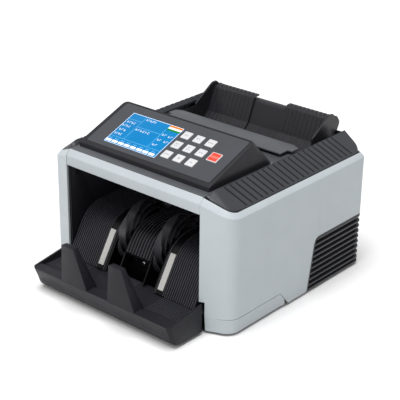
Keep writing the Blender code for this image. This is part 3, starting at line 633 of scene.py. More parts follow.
def shoulderStations():
    # (x, y, 1 in a groove or 0 beside it) along the panel's outer edge
    gap = casing["rim"] + shoulder["gap"]
    path = shellPath(gap)
    front = [p for p in path if p[0] > casing["openX"] + 0.4 and p[1] < shoulder["first"] - 4]
    sideX = front[-1][0]
    spots = []
    half = shoulder["grooveWidth"] / 2
    for y in evenly(shoulder["first"], shoulder["last"], shoulder["grooves"]):
        spots += [(sideX, y - half - 0.25, 0), (sideX, y - half, 1)]
        spots += [(sideX, y + half, 1), (sideX, y + half + 0.25, 0)]
    end = shoulder["endY"]
    corner = roundedPath([(sideX, end - 12), (sideX, end), (112, end)], [0, shoulder["cornerRadius"], 0], 8)
    # the rear end's stations stay in order, each a hair behind the one before
    tail = [(x, y - 0.02 * (len(corner) - i), 0) for i, (x, y) in enumerate(corner)]
    return [(x, y, 0) for x, y in front] + spots + tail


def slantAt(y):
    # how far the outer end of a groove lies behind its ridge end
    first, last = shoulder["first"] - 2, shoulder["last"] + 2
    return slide(y, [(shoulder["slantFrom"], 0), (first, shoulder["slant"]), (last, shoulder["slant"]),
                     (shoulder["endY"] - 12, 0)])


def shoulderPanel(name, side):
    low = rimZ(casing["halfWidth"] - casing["rim"], 0)
    innerX = casing["openX"] + 0.4
    stations = shoulderStations()
    startY = stations[0][1]
    sections = []
    for x, y, deep in stations:
        ridgeX, ridgeZ, edgeZ = shoulderHeights(x, y, low, startY)

        def onSlope(px, sink=0.0):
            share = (px - ridgeX) / (x - ridgeX)
            return px, y + slantAt(y) * share, ridgeZ + (edgeZ - ridgeZ) * share - sink

        g0 = min(shoulder["grooveFrom"], ridgeX + (x - ridgeX) * 0.2)
        g1 = max(x - shoulder["border"], ridgeX + (x - ridgeX) * 0.5)
        sink = shoulder["grooveDepth"] * deep
        soft = min(0.9, (x - ridgeX) * 0.1)
        innerLow = casing["deckZ"] + (ridgeZ - casing["deckZ"]) * 0.85
        notch = sink * 0.7                 # each groove runs on over the ridge
        top = [(innerX, y, casing["deckZ"]), (innerX + (ridgeX - innerX) * 0.85, y, innerLow - notch),
               (ridgeX, y, ridgeZ - soft * 0.3 - notch), onSlope(ridgeX + soft, notch), onSlope(g0, notch),
               onSlope(g0 + 0.25, sink), onSlope(g1 - 0.25, sink), onSlope(g1), onSlope(x - 0.4),
               (x, y + slantAt(y), edgeZ - 0.45)]
        solid = y > shoulder["endY"] - 12          # the rear end reaches down to the ledge
        bottom = [(px, py, (low if solid else pz) - casing["wall"]) for px, py, pz in reversed(top)]
        sections.append([(side * px, py, pz) for px, py, pz in top + bottom])
    ledgeY = shoulder["endY"] - 8
    tail = [p for p in shellPath(casing["rim"] + 0.3) if p[1] > ledgeY]
    ledge = [(innerX, ledgeY), (tail[0][0], ledgeY)] + tail[:-1] + [(innerX, tail[-1][1])]
    shapes = [(skin(sections), 0), (flipped(alongZ(ledge, low - 2, low - 0.2), side), 0)]
    sideX = casing["halfWidth"] - casing["rim"] - shoulder["gap"]
    half = shoulder["grooveWidth"] / 2
    for y in evenly(shoulder["first"], shoulder["last"], shoulder["grooves"]):
        # painted shade: a near-black lining on each groove's floor stands in for the shade inside the groove
        ridgeX, ridgeZ, edgeZ = shoulderHeights(sideX, y, low, startY)
        ends = []
        for x in (shoulder["grooveFrom"] + 0.3, sideX - shoulder["border"] - 0.3):
            z = ridgeZ + (edgeZ - ridgeZ) * (x - ridgeX) / (sideX - ridgeX) - shoulder["grooveDepth"]
            at = y + slantAt(y) * (x - ridgeX) / (sideX - ridgeX)
            ends.append([(side * x, at - half, z + 0.08), (side * x, at + half, z + 0.08),
                         (side * x, at + half, z - 0.3), (side * x, at - half, z - 0.3)])
        shapes.append((skin(ends), 1))
    return makePiece(f"shoulderPanel_{name}", shapes, ["shoulderCharcoal", "blackAndPaintedShade"], smooth=32)


def makeCasing():
    basePan()
    for name, side in sides:
        settle(sideCover(name, side), f"{name}_side_cover")
        settle(ventGrille(name, side), f"{name}_vent_grille")
        settle(shoulderPanel(name, side), f"{name}_shoulder_panel")
    settle(recut("front_bezel", "bezelGrey", 0.7, 3), "front_bezel")
    settle(recut("top_deck", "deckCharcoal", 0.5), "top_deck")
    print("casing made")


rear = {"screws": ((-94, 12), (94, 12), (-94, 150), (94, 150)), "ribs": 9, "ribX": (20, 86), "ribZ": 96.0,
        "ribPitch": 5.5, "wellDepth": 15.0, "pins": ((-7, -2.5), (0, 2.5), (7, -2.5))}


def screwHead(x, y, z, axis, radius=3.0, facing=1):
    # pan head with a cross recess, facing along one axis; the recess is no hollow but two thin bars in the
    # second finish, which in near-black are painted shade
    rows = [(0.0, radius), (0.7, radius), (1.3, radius * 0.82), (1.6, radius * 0.5)]
    head = turned([(facing * a, r) for a, r in rows], (x, y, z), axis, steps=20)
    arms = []
    for a, b in ((radius * 0.55, 0.32), (0.32, radius * 0.55)):
        if axis == "y":
            arms.append((block(x - a, y + facing * 1.58, z - b, x + a, y + facing * 1.66, z + b), 1))
        elif axis == "x":
            arms.append((block(x + facing * 1.58, y - a, z - b, x + facing * 1.66, y + a, z + b), 1))
    return [(head, 0)] + arms


def makeRear():
    depth = casing["depth"]
    panel = recut("rear_panel", "innerBlack", 0.5)
    settle(panel, "rear_panel")
    trim = []
    for k in range(rear["ribs"]):
        z = rear["ribZ"] + rear["ribPitch"] * k
        rib = [(depth - 0.3, z), (depth - 0.05, z + 0.5), (depth - 0.05, z + 2.2), (depth - 0.3, z + 2.7)]
        trim.append((alongX(rib, *rear["ribX"]), 0))
    addTo(makePiece("rearRibs", trim, ["ventBlack"]), "rear_panel")
    screws = []
    for x, z in rear["screws"]:
        screws += screwHead(x, depth - 1.6, z, "y", 2.6)
    # the screws' cross recesses are painted shade, near-black bars on the steel heads
    addTo(makePiece("rearScrews", screws, ["darkSteel", "blackAndPaintedShade"]), "rear_panel")
    low, high = boxOf("power_inlet")
    face = high.y
    rim = roundedRect(low.x, low.z, high.x, high.z, 1.0, 6.0)
    well = roundedRect(low.x + 3, low.z + 3, high.x - 3, high.z - 3, 1.0, 4.5)
    rows = [[(x, y, z) for x, z in outline] for outline, y in
            ((rim, low.y), (rim, face), (well, face), (well, face - rear["wellDepth"]))]
    middle = (low.x + high.x) / 2
    shapes = [(skin(rows), 0)]
    for dx, dz in rear["pins"]:
        x, z = middle + dx, (low.z + high.z) / 2 + dz
        shapes.append((block(x - 1, face - rear["wellDepth"] - 0.5, z - 2.5, x + 1, face - 3, z + 2.5), 1))
    settle(makePiece("powerInlet_made", shapes, ["innerBlack", "steel"]), "power_inlet")
    settle(recut("power_rocker", "blackAndPaintedShade", 0.6, 3), "power_rocker")
    for name in ("left_front", "right_front", "left_rear", "right_rear"):
        low, high = boxOf(f"{name}_foot")
        centre = ((low.x + high.x) / 2, (low.y + high.y) / 2, 0)
        radius = (high.x - low.x) / 2
        rows = [(0.0, radius * 0.35), (0.25, radius * 0.42), (0.3, radius * 0.6), (0.0, radius * 0.68),
                (0.0, radius * 0.9), (0.5, radius), (high.z, radius)]
        foot = makePiece(f"foot_{name}", [turned(rows, centre, "z", steps=36)], ["rubber"], 28)
        settle(foot, f"{name}_foot")
    print("rear and feet made")


head = {
    "x": boxOf("head_housing")[1].x, "front": (18.0, 169.8), "tilt": math.radians(21), "slope": 84.8,
    "rearY": boxOf("head_housing")[1].y, "backRadius": 6.5, "frontRadius": 1.2, "edge": 1.1,
    "rim": (94.8, 6.4, 82.2), "rimRadius": 3.0, "sink": 1.7, "fasciaGap": 0.45,
}


def onFascia(u, v, w=0.0):
    # u across, v up the slope, w out of the fascia
    y = head["front"][0] + v * math.cos(head["tilt"]) - w * math.sin(head["tilt"])
    return u, y, head["front"][1] + v * math.sin(head["tilt"]) + w * math.cos(head["tilt"])


def plate(outline, w0, w1, edge=0.0):
    # flat plate in the fascia's plane; edge rounds its upper rim a little
    rows = [[onFascia(u, v, w0) for u, v in outline], [onFascia(u, v, w1 - edge) for u, v in outline]]
    if edge:
        cu = sum(u for u, v in outline) / len(outline)
        cv = sum(v for u, v in outline) / len(outline)
        reachU = max(abs(u - cu) for u, v in outline)
        reachV = max(abs(v - cv) for u, v in outline)
        for inset, drop in ((0.3, 0.3), (1.0, 0.0)):
            su, sv = 1 - edge * inset / reachU, 1 - edge * inset / reachV
            shrunk = [(cu + (u - cu) * su, cv + (v - cv) * sv) for u, v in outline]
            rows.append([onFascia(u, v, w1 - edge * drop) for u, v in shrunk])
    return skin(rows)


def makeHead():
    base = casing["deckZ"] + 0.4
    x, slope, foot = head["x"], head["slope"], head["front"][0]
    ratio = (head["rearY"] - foot) / slope

    def topLoop(inset, w):
        front, back = max(0.3, head["frontRadius"] - inset), head["backRadius"] - inset
        outline = roundedRect(-x + inset, inset, x - inset, slope - inset, front, back, 8)
        return [onFascia(u, v, w) for u, v in outline]

    def baseLoop(outline):
        return [(px, foot + py * ratio, base) for px, py in outline]

    outer = roundedRect(-x, 0, x, slope, head["frontRadius"], head["backRadius"], 8)
    u, v0, v1 = head["rim"]
    inner = roundedRect(-u, v0, u, v1, head["rimRadius"], None, 8)
    throat = roundedRect(-u + 3, v0 + 4, u - 3, v1 - 3, 1, None, 8)
    edge = head["edge"]
    rows = [baseLoop(outer)]
    for a in (0, 0.4, 0.8, 1.2, math.pi / 2):
        rows.append(topLoop(edge * (1 - math.cos(a)), edge * (math.sin(a) - 1)))
    rows += [[onFascia(px, py, w) for px, py in inner] for w in (0.0, -head["sink"])]
    rows += [[onFascia(px, py, -head["sink"]) for px, py in throat],
             baseLoop(roundedRect(-x + 3, 3, x - 3, slope - 3, 1, None, 8))]
    housing = makePiece("headHousing_made", [skin(rows, ring=True)], ["charcoal"], smooth=30)
    settle(housing, "head_housing")
    makeFascia()
    print("display head made")


lcd = {
    "box": (-73.0, 14.2, 7.5, 70.0), "top": -0.1, "ink": 0.04, "line": 0.55,
    "verticals": ((0.275, 0.212, 1.0), (0.737, 0.212, 0.83)),
    "levels": ((0.8, 0.0, 0.275), (0.65, 0.275, 0.737), (0.212, 0.0, 1.0)),
    "blocks": (8, 0.015, 0.975, 0.04, 0.105), "flag": (0.747, 0.822, 0.992, 0.985),
    "marks": ((0.05, 0.71, 0.17, 4), (0.03, 0.585, 0.16, 4), (0.05, 0.448, 0.135, 3), (0.045, 0.31, 0.14, 4),
              (0.31, 0.915, 0.2, 5), (0.3, 0.57, 0.28, 6), (0.765, 0.667, 0.09, 2), (0.885, 0.657, 0.09, 2),
              (0.768, 0.493, 0.08, 2), (0.893, 0.495, 0.09, 2), (0.77, 0.335, 0.1, 2)),
    "markHeight": 3.1, "margin": 0.006,
}
keys = {"rows": (61.3, 43.3, 25.3), "columns": (17.7, 35.7, 53.7), "size": 11.7, "start": (73.1, 43.4, 14.4),
        "low": -3.2, "high": 0.6, "gap": 0.35, "corner": 0.9, "ink": 0.03}


def keyPlaces():
    # (name, u, v, size) of the nine small keys and the large one
    places = [(f"key_{r + 1}_{c + 1}", u, v, keys["size"]) for r, v in enumerate(keys["rows"])
              for c, u in enumerate(keys["columns"])]
    return places + [("start_key", *keys["start"])]


def makeFascia():
    u, v0, v1 = head["rim"]
    gap = head["fasciaGap"]
    outline = roundedRect(-u + gap, v0 + gap, u - gap, v1 - gap, 2.6)
    panel = makePiece("headFascia_made", [plate(outline, -1.6, 0)], ["fasciaFilm"])
    a, b, c, d = lcd["box"]
    cuts = [plate(roundedRect(a - 0.3, b - 0.3, c + 0.3, d + 0.3, 0.6), -3, 2)]
    for name, ku, kv, size in keyPlaces():
        half = size / 2 + keys["gap"]
        hole = roundedRect(ku - half, kv - half, ku + half, kv + half, keys["corner"] + 0.3)
        cuts.append(plate(hole, -3, 2))
    carve(panel, *cuts)
    roundEdges(panel, 0.22, 2, 40)
    settle(panel, "head_fascia")
    makeScreen()
    for name, ku, kv, size in keyPlaces():
        makeKey(name, ku, kv, size)


def makeScreen():
    a, b, c, d = lcd["box"]
    wide, tall = c - a, d - b
    top = lcd["top"]
    glass = plate(roundedRect(a, b, c, d, 0.6), -3.4, top, 0.15)
    settle(makePiece("lcdScreen_made", [glass], ["screenBlue"]), "lcd_screen")

    def patch(s0, t0, s1, t1, radius=0.15):
        outline = roundedRect(a + s0 * wide, b + t0 * tall, a + s1 * wide, b + t1 * tall, radius, None, 2)
        return plate(outline, top - 0.3, top + lcd["ink"])

    line = lcd["line"]
    ls, lt = line / wide, line / tall
    shapes = []
    for s, t0, t1 in lcd["verticals"]:
        shapes.append((patch(s - ls * 0.4, t0, s + ls * 0.4, t1), 1))
    for t, s0, s1 in lcd["levels"]:
        shapes.append((patch(s0, t - lt * 0.4, s1, t + lt * 0.4), 1))
    m = lcd["margin"]
    border = ((m, m, m + ls, 1 - m), (1 - m - ls, m, 1 - m, 1 - m), (m, m, 1 - m, m + lt),
              (m, 1 - m - lt, 1 - m, 1 - m))
    for s0, t0, s1, t1 in border:
        shapes.append((patch(s0, t0, s1, t1), 0))
    count, s0, s1, t0, t1 = lcd["blocks"]
    pitch = (s1 - s0) / count
    for k in range(count):
        left = s0 + pitch * k
        shapes.append((patch(left, t0, left + pitch * 0.84, t1), 0))
        for j in range(3):
            at = left + pitch * (0.1 + 0.2 * j)
            shapes.append((patch(at, t1 + 0.03, at + pitch * 0.12, t1 + 0.055, 0.08), 1))
    for s, t, width, count in lcd["marks"]:
        step = width / count
        half = lcd["markHeight"] / 2 / tall
        for k in range(count):
            # a stand-in glyph: an upright and two bars, alternating
            left = s + step * k
            shapes.append((patch(left, t - half, left + ls * 0.8, t + half, 0.1), 0))
            high = t + half - lt * 0.8 if k % 2 else t - lt * 0.3
            shapes.append((patch(left, high, left + step * 0.62, high + lt * 0.8, 0.1), 0))
            if k % 3 != 1:
                shapes.append((patch(left, t - half, left + step * 0.62, t - half + lt * 0.8, 0.1), 0))
    f0, g0, f1, g1 = lcd["flag"]
    third = (g1 - g0) / 3
    for k, index in enumerate((3, 0, 2)):
        shapes.append((patch(f0, g0 + third * k, f1, g0 + third * (k + 1), 0.0), index))
    ink = makePiece("lcdMarks", shapes, ["screenWhite", "screenPale", "screenOrange", "screenGreen"])
    addTo(ink, "lcd_screen")


legends = {
    # glyphs on each line of a key's mark
    "key_1_1": (3,), "key_1_2": (3,), "key_1_3": (4,), "key_2_1": (3, 3), "key_2_2": (2, 3), "key_2_3": (3,),
    "key_3_1": (4,),
}


def makeKey(name, u, v, size):
    half = size / 2
    low, high = keys["low"], keys["high"]
    ring = roundedRect(u - half, v - half, u + half, v + half, keys["corner"])
    shapes = [(plate(ring, low, high, 0.35), 0)]
    top = high + keys["ink"]

    def bar(du, dv, w, h, index=1):
        shapes.append((plate([(u + du - w, v + dv - h), (u + du + w, v + dv - h), (u + du + w, v + dv + h),
                              (u + du - w, v + dv + h)], high - 0.3, top), index))

    if name == "start_key":
        inner = half - 0.95
        face = roundedRect(u - inner, v - inner, u + inner, v + inner, 0.6)
        shapes.append((plate(face, high - 0.3, high + 0.02), 1))
        top = high + 0.05
        bar(0, 0, inner * 0.86, 1.5, 2)
        for k in range(5):
            bar(-3.6 + 1.8 * k, 0, 0.5, 0.9, 1)
            shapes[-1] = (([(x, y, z + 0.03) for x, y, z in shapes[-1][0][0]], shapes[-1][0][1]), 1)
        finishNames = ["keyWhite", "keyRed", "keyPink"]
    else:
        finishNames = ["keyWhite", "keyInk"]
        if name == "key_3_2":
            bar(0, 0, 1.5, 0.35)
            bar(0, 0, 0.35, 1.5)
        elif name == "key_3_3":
            bar(0, 0, 1.5, 0.35)
        for row, count in enumerate(legends.get(name, ())):
            lines = len(legends[name])
            dv = 0.0 if lines == 1 else (1.6 - 3.2 * row)
            for k in range(count):
                du = (k - (count - 1) / 2) * 1.9
                bar(du - 0.45, dv, 0.18, 0.85)
                bar(du, dv + (0.65 if k % 2 else -0.1), 0.5, 0.18)
                if k % 3 != 1:
                    bar(du, dv - 0.67, 0.5, 0.18)
    cap = makePiece(f"{name}_cap", shapes, finishNames, smooth=30)
    settle(cap, name)


hopper = {
    "bed": ((203, 113.7), (241, 150.4), (253.4, 179.2), (264, 178.6), (265, 170)),
    "bedRadii": (0, 5, 6, 3, 0),
    "guide": ((219, 129.1), (241, 150.4), (254.2, 181), (262.2, 181)), "guideRadii": (0, 5, 6, 0),
    "bedX": boxOf("hopper_bed")[1].x, "innerX": 24.4, "outerX": boxOf("right_hopper_guide")[1].x,
    "ribs": (31.0, 87.0, 10), "ribWidth": 0.9, "ribDepth": 0.7, "slot": (14, 38, 198, 220.5),
    "rail": (boxOf("guide_rail")[0] + boxOf("guide_rail")[1]) / 2, "thick": 2.5,
    "wing": ((216.4, 130), (216, 167), (248.6, 187.5), (256.6, 188), (262.6, 182), (263.4, 166), (261, 152),
             (246, 147.5), (222, 125.5)), "wingRadii": (0.8, 4, 4, 5, 4, 2, 2, 3, 1),
    "lug": ((263.8, 165), (263.8, 183.6), (267, 181.6), (272, 175), (272, 171), (268, 163.5)),
    "lugRadii": (0.5, 1.2, 2, 1.6, 1, 1), "lugFoot": ((261, 166), (265, 167), (265, 178), (261, 178)),
    "creases": (-52, -45, 45, 52),
}


def ribbed(corners, radii, offset, thick, x0, x1, ribs, width, depth):
    # a sheet swept along X whose surface dips at each rib line
    marks = [(x0, 0)]
    for x in ribs:
        a, b = x - width / 2, x + width / 2
        marks += [(a - 0.15, 0), (a, depth), (b, depth), (b + 0.15, 0)]
    marks.append((x1, 0))
    under = movedPath(corners, radii, offset - thick, 8)[::-1]
    sections = []
    for x, sink in marks:
        sections.append([(x, y, z) for y, z in movedPath(corners, radii, offset - sink, 8) + under])
    return skin(sections)


def hopperGuide(name, side):
    ribs = evenly(*hopper["ribs"])
    outer = hopper["outerX"]
    sheet = ribbed(hopper["guide"], hopper["guideRadii"], 2.6, 2.1, hopper["innerX"], outer - 1.5, ribs,
                   hopper["ribWidth"], hopper["ribDepth"])
    shapes = [sheet, alongX(roundedLoop(hopper["wing"], hopper["wingRadii"], 5), outer - 2.4, outer),
              alongX(roundedLoop(hopper["lug"], hopper["lugRadii"], 4), outer - 3.2, outer - 0.8),
              alongX(hopper["lugFoot"], outer - 2.8, outer - 1.8)]
    rail = hopper["rail"]
    boss = turned([(outer - 9.2, 6.2), (outer - 1, 6.2)], (0, rail.y, rail.z), "x", bore=3.25)
    shapes.append(boss)
    shapes.append(block(outer - 7, rail.y - 2, rail.z + 5.5, outer - 1, rail.y + 2, 176))
    shapes = [flipped(s, side) for s in shapes]
    piece = makePiece(f"hopperGuide_{name}", shapes, ["hopperCharcoal"], smooth=30)
    roundEdges(piece, 0.35, 2, 50)
    settle(piece, f"{name}_hopper_guide")


def makeHopper():
    bedX = hopper["bedX"]
    x0, x1, y0, y1 = hopper["slot"]
    sheet = ribbed(hopper["bed"], hopper["bedRadii"], 0, hopper["thick"], -bedX, bedX, hopper["creases"],
                   0.9, 0.6)
    bed = makePiece("hopperBed_made", [sheet], ["hopperCharcoal"], smooth=30)
    carve(bed, block(-x1, y0, 104, -x0, y1, 136), block(x0, y0, 104, x1, y1, 136))
    settle(bed, "hopper_bed")
    for name, side in sides:
        hopperGuide(name, side)
    bridge = recut("bridge_cover", "deckCharcoal", 0.9, 3, 40)
    settle(bridge, "bridge_cover")
    print("hopper made")


stacker = {
    "plate": ((-4, 29.6), (30, 86), (112, 88.5)), "radii": (0, 40, 0), "thick": 2.5,
    "edge": boxOf("stacker_back_plate")[1].x, "slot": (20.0, 38.0), "outerRibs": (56.0, 98.5, 15),
    "centreRibs": (-17.0, 17.0, 9), "ribWidth": 0.9, "ribRise": 1.0, "stripLines": (41.4, 53.2),
    "recessTop": 56.0,
    "strip": (43.4, 51.4, 72.5, 34.6, 30.4), "axis": (52.0, 62.0),
}


def makeStackerPlate():
    corners, radii = stacker["plate"], stacker["radii"]
    edge = stacker["edge"]
    inner, outer = stacker["slot"]
    w, rise, t = stacker["ribWidth"], stacker["ribRise"], stacker["thick"]
    share = (stacker["recessTop"] - corners[0][1]) / (corners[1][1] - corners[0][1])
    start = Vector(corners[0]).lerp(Vector(corners[1]), share)
    upper = (tuple(start), corners[1], corners[2])
    shapes = [ribbed(upper, radii, 0, t, -inner, inner, [], 0, 0)]

    def rib(line, x):
        return ribbed(line, radii, rise, rise + 0.3, x - w / 2, x + w / 2, [], 0, 0)

    ribs = [rib(upper, x) for x in evenly(*stacker["centreRibs"])]
    for side in (-1, 1):
        shapes.append(flipped(ribbed(corners, radii, 0, t, outer, edge, [], 0, 0), side))
        for x in evenly(*stacker["outerRibs"]) + list(stacker["stripLines"]):
            ribs.append(flipped(rib(corners, x), side))
    shapes.append(alongX([(105.5, 88.3), (112, 88.5), (112, 86), (105.5, 85.8)], -outer, outer))
    lowY = corners[0][0]
    y, z = start
    shapes.append(block(-inner, y - 1, z - 2, inner, y + 12, z - 0.4))
    shapes.append(block(-inner, y + 10, 30, inner, y + 12, z - 0.4))
    for middle in (-inner, inner):
        wall = [(lowY + 1.5, 30), (y, z - 0.4), (y + 12, z - 0.4), (y + 12, 30)]
        shapes.append(alongX(wall, middle - 0.9, middle + 0.9))
    settle(makePiece("stackerPlate_made", shapes, ["plateBlack"], smooth=28), "stacker_back_plate")
    # the ribs' lighter grey is a painted highlight on the black plate
    addTo(makePiece("stackerPlateRibs", ribs, ["ribHighlightGrey"], smooth=28), "stacker_back_plate")
    # its cross recess is painted shade, near-black bars on the steel head
    screw = makePiece("recessScrew", screwHead(0, y + 10, 43, "y", 2.6, -1), ["steel", "blackAndPaintedShade"])
    addTo(screw, "stacker_back_plate")
    for name, side in sides:
        makeStrip(name, side)


def makeStrip(name, side):
    x0, x1, top, split, foot = stacker["strip"]
    front = [p for p in movedPath(stacker["plate"], stacker["radii"], 1.6, 16) if p[1] < top]
    back = [p for p in movedPath(stacker["plate"], stacker["radii"], 0.2, 16) if p[1] < top]

    def atHeight(path, z):
        # point of the path's straight first stretch at this height
        return tuple(Vector(path[0]).lerp(Vector(path[1]), (z - path[0][1]) / (path[1][1] - path[0][1])))

    white = []
    dark = []
    for path, step in ((front, 1), (back, -1)):
        white += ([atHeight(path, split)] + [p for p in path if p[1] > split + 0.5])[::step]
        dark += [atHeight(path, foot), atHeight(path, split - 0.2)][::step]
    shapes = [(flipped(alongX(white, x0, x1), side), 0),
              (flipped(alongX(dark, x0 - 0.6, x1 + 0.6), side), 1)]
    piece = makePiece(f"wearStrip_{name}", shapes, ["stripWhite", "blackAndPaintedShade"], smooth=30)
    roundEdges(piece, 0.3, 2, 50)
    settle(piece, f"{name}_wear_strip")


wheel = {"fingers": 8, "tip": 128.0, "swirl": 150.0, "root": 16.0, "radius": 44.0, "x": 22.0, "width": 12.0,
         "bore": 4.3, "curl": 1.3, "thick": (1.6, 0.9), "taperFrom": 0.81, "point": 0.1, "tipX": 27.8}


def fingerWheel(name, side):
    cy, cz = stacker["axis"]
    shapes = []
    steps = 26
    x0, x1 = wheel["x"], wheel["x"] + wheel["width"]
    thick0, thick1 = wheel["thick"]
    for k in range(wheel["fingers"]):
        sections = []
        for i in range(steps + 1):
            share = i / steps
            turn = math.radians(wheel["tip"] + 360 * k / wheel["fingers"] + wheel["swirl"] * (1 - share))
            outer = wheel["radius"] - (wheel["radius"] - wheel["root"]) * (1 - share) ** wheel["curl"]
            thick = thick0 + (thick1 - thick0) * share
            # towards its tip the blade narrows to a point
            taper = max(0, (share - wheel["taperFrom"]) / (1 - wheel["taperFrom"]))
            narrow = 1 - taper * (1 - wheel["point"])
            a = x0 + 0.15 + (wheel["tipX"] - x0 - 0.6) * (1 - narrow) / (1 - wheel["point"])
            b = a + (wheel["width"] - 0.3) * narrow
            soft = min(0.35, (b - a) * 0.2)
            profile = ((a, outer - 0.35), (a + soft, outer), (b - soft, outer), (b, outer - 0.35),
                       (b, outer - thick), (a, outer - thick))
            sections.append([(x, cy + r * math.cos(turn), cz + r * math.sin(turn)) for x, r in profile])
        shapes.append(skin(sections))
    hub = wheel["root"] + 0.4
    rows = [(x0, hub - 1), (x0 + 0.8, hub), (x1 - 0.8, hub), (x1, hub - 1), (x1, wheel["bore"] + 4),
            (x1 - 1.5, wheel["bore"] + 3)]
    shapes.append(turned(rows, (0, cy, cz), "x", bore=wheel["bore"], steps=40))
    piece = makePiece(f"fingerWheel_{name}", [flipped(s, side) for s in shapes], ["wheelGrey"], smooth=32)
    settle(piece, f"{name}_stacker_wheel")


tray = {
    "face": ((9.0, -47.0), (31.0, -56.0)), "floorZ": 28.0, "ribs": (57.0, 101.0, 14), "ribY": (-36.0, 5.5),
    "ribHeight": 0.9, "middleHeight": 0.6, "ribWidth": 1.0, "middleRibs": (-11.0, 11.0, 8),
    "middleY": (-16.0, 5.5),
    "beads": (27.5, 25.0, 22.5, 20.0), "beadReach": 15.0, "lines": ((28.7, -104, 104), (12.6, -103, 101)),
}


def trayFace(z):
    # depth of the sloping front face at this height
    return slide(z, tray["face"])


def trayRib(x, height, y0, y1):
    # low ridge along the tray's floor, painted in the lighter trayRib finish as a highlight
    half, z = tray["ribWidth"] / 2, tray["floorZ"]
    return alongY([(x - half, z - 0.2), (x - half * 0.7, z + height), (x + half * 0.7, z + height),
                   (x + half, z - 0.2)], y0, y1)


def trayLine(z, rise, low, high, x0, x1):
    # raised line across the front face, also painted lighter as a highlight
    y = trayFace(z)
    profile = [(y + 0.3, z - low), (y - rise, z - high), (y - rise, z + high), (y + 0.3, z + low)]
    return alongX(profile, x0, x1)


def makeTray():
    piece = recut("stacker_tray", "trayCharcoal", 0.8, 3, 30)
    settle(piece, "stacker_tray")
    shapes = [trayRib(x, tray["middleHeight"], *tray["middleY"]) for x in evenly(*tray["middleRibs"])]
    for side in (-1, 1):
        for x in evenly(*tray["ribs"]):
            shapes.append(flipped(trayRib(x, tray["ribHeight"], *tray["ribY"]), side))
    for z in tray["beads"]:
        # fine lines between the fingers, each a little shorter than the one above
        reach = tray["beadReach"] - (tray["beads"][0] - z) * 0.25
        shapes.append(trayLine(z, 0.25, 0.35, 0.2, -reach, reach))
    shapes += [trayLine(z, 0.3, 0.5, 0.25, x0, x1) for z, x0, x1 in tray["lines"]]
    upright = ((100.5, 0.3), (100.6, -0.3), (100.9, -0.3), (101, 0.3))
    shapes.append(skin([[(x, trayFace(z) + dy, z) for x, dy in upright] for z in (12.6, 18.5)]))
    # ribs, beads and lines all get the lighter trayRib finish, a painted highlight
    addTo(makePiece("trayRibs", shapes, ["trayRib"], smooth=30), "stacker_tray")


def makeStacker():
    makeStackerPlate()
    makeTray()
    for name, side in sides:
        fingerWheel(name, side)
        settle(recut(f"{name}_frame_plate", "innerBlack", 0.3), f"{name}_frame_plate")
        x = side * boxOf("right_frame_plate")[0].x
        screw = screwHead(x, 11.5, 132, "x", 3.2, -side)
        addTo(makePiece(f"plateScrew_{name}", screw, ["innerBlack", "darkSteel"]), f"{name}_frame_plate")
    settle(recut("sensor_bar", "innerBlack", 0.6), "sensor_bar")
    rail = roundedLoop([(12, 140.5), (15, 140.5), (15, 143.5), (12, 143.5)], [0.8] * 4)
    addTo(makePiece("openingRail", [alongX(rail, -100.4, 100.4)], ["ventBlack"]), "sensor_bar")
    print("stacker made")


inside = {
    # finish and the nodes that have it
    "steel": ("guide_rail", "stacker_shaft", "feed_shaft", "pickup_shaft", "stacker_pulley", "feed_pulley",
              "motor_pulley", "main_motor"),
    "rubber": ("left_feed_roller", "right_feed_roller", "left_pickup_roller", "right_pickup_roller",
               "drive_belt"),
    "stripWhite": ("left_guide_rack", "right_guide_rack", "guide_pinion"),
}


board = {
    # depth, height, width, tall and thickness of what is soldered on
    "parts": ((12, 12, 18, 18, 2), (40, 20, 26, 10, 3), (40, 50, 14, 14, 2.5), (12, 55, 10, 30, 6),
              (66, 40, 12, 40, 8)),
}


def makeInside():
    for finish, nodes in inside.items():
        for node in nodes:
            settle(recut(node, finish, 0.25, 2, 40), node)
    low, high = boxOf("power_supply")
    supply = makePiece("powerSupply_made", [block(*low, *high)], ["steel"])
    settle(roundEdges(supply, 1.0), "power_supply")
    # painted shade: near-black bars on the supply's lid stand in for the shaded insides of its vent slots
    vents = []
    for k in range(9):
        x = low.x + 8 + 7 * k
        vents.append(block(x, low.y + 10, high.z - 0.2, x + 3, high.y - 10, high.z + 0.15))
    addTo(makePiece("supplyVents", vents, ["blackAndPaintedShade"]), "power_supply")
    low = boxOf("control_board")[0]
    settle(recut("control_board", "board", 0.2), "control_board")
    parts = []
    for dy, dz, w, h, t in board["parts"]:
        parts.append(block(low.x - t, low.y + dy, low.z + dz, low.x + 0.1, low.y + dy + w, low.z + dz + h))
    addTo(roundEdges(makePiece("boardParts", parts, ["innerBlack"]), 0.3), "control_board")
    print("inside made")


studio = {
    "azimuth": 40.6, "elevation": 24.4, "roll": 0.775, "distance": 1.4248, "lens": 107.4,
    "aim": (0.0088, 0.0060, -0.0030), "floor": (218, 218, 218), "floorHalf": 6.0, "sky": 0.55,
    "sun": (8, 78, 3.4, 36),               # azimuth, elevation, strength, softness
    # azimuth, elevation, distance, size, power
    "lamps": {"front": (4, 20, 1.8, 1.1, 9), "right": (82, 34, 1.8, 1.4, 1.8)},
}


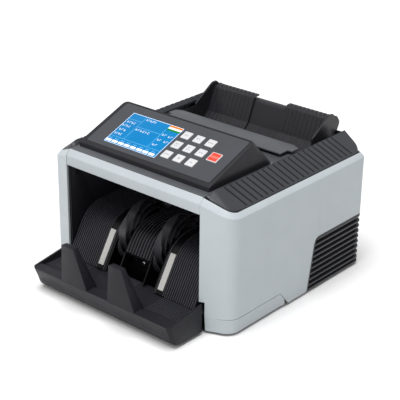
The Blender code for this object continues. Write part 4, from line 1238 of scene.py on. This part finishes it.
def makeCamera():
    low, high = cadBounds
    target = (Vector(low) + Vector(high)) / 2 + Vector(studio["aim"])
    a, e, r = (math.radians(studio[k]) for k in ("azimuth", "elevation", "roll"))
    back = Vector((math.sin(a) * math.cos(e), -math.cos(a) * math.cos(e), math.sin(e)))
    right = Vector((0, 0, 1)).cross(back).normalized()
    up = back.cross(right)
    across = right * math.cos(r) + up * math.sin(r)
    over = up * math.cos(r) - right * math.sin(r)
    data = bpy.data.cameras.new("studioCamera")
    data.lens = studio["lens"]
    data.sensor_width = 36
    camera = bpy.data.objects.new("studioCamera", data)
    spot = target + back * studio["distance"]
    camera.matrix_world = Matrix.Translation(spot) @ Matrix((across, over, back)).transposed().to_4x4()
    bpy.context.scene.collection.objects.link(camera)
    bpy.context.scene.camera = camera


def hang(data, azimuth, elevation, distance):
    # a lamp on a sphere round the object, turned to face it
    a, e = math.radians(azimuth), math.radians(elevation)
    direction = Vector((math.sin(a) * math.cos(e), -math.cos(a) * math.cos(e), math.sin(e)))
    lamp = bpy.data.objects.new(data.name, data)
    lamp.location = Vector((0, 0, 0.1)) + direction * distance
    lamp.rotation_euler = direction.to_track_quat("Z", "Y").to_euler()
    bpy.context.scene.collection.objects.link(lamp)


def makeStudio():
    scene = bpy.context.scene
    scene.view_settings.view_transform = "Standard"
    half = studio["floorHalf"]
    mesh = bpy.data.meshes.new("studioFloor")
    corners = [(-half, -half, 0), (half, -half, 0), (half, half, 0), (-half, half, 0)]
    mesh.from_pydata(corners, [], [(0, 1, 2, 3)])
    floor = bpy.data.objects.new("studioFloor", mesh)
    scene.collection.objects.link(floor)
    material, tree, shader = newMaterial("paperSweep")
    base = linear(studio["floor"])
    mottle = rangeNode(tree, noiseNode(tree, 0.4, 2.0), 0, 1)
    tree.links.new(tintNode(tree, mottle, [c * 0.99 for c in base], base), shader.inputs["Base Color"])
    shader.inputs["Roughness"].default_value = 0.9
    mesh.materials.append(material)
    world = bpy.data.worlds.new("studioSky")
    world.use_nodes = True
    world.node_tree.nodes["Background"].inputs["Color"].default_value = (1, 1, 1, 1)
    world.node_tree.nodes["Background"].inputs["Strength"].default_value = studio["sky"]
    scene.world = world
    azimuth, elevation, strength, softness = studio["sun"]
    data = bpy.data.lights.new("ceiling", "SUN")
    data.energy = strength
    data.angle = math.radians(softness)
    hang(data, azimuth, elevation, 2.0)
    for name, (azimuth, elevation, distance, size, power) in studio["lamps"].items():
        data = bpy.data.lights.new(name, "AREA")
        data.shape = "DISK"
        data.size = size
        data.energy = power
        hang(data, azimuth, elevation, distance)
    print("studio made")


makeCamera()
makeStudio()
makeCasing()
makeRear()
makeHead()
makeHopper()
makeStacker()
makeInside()
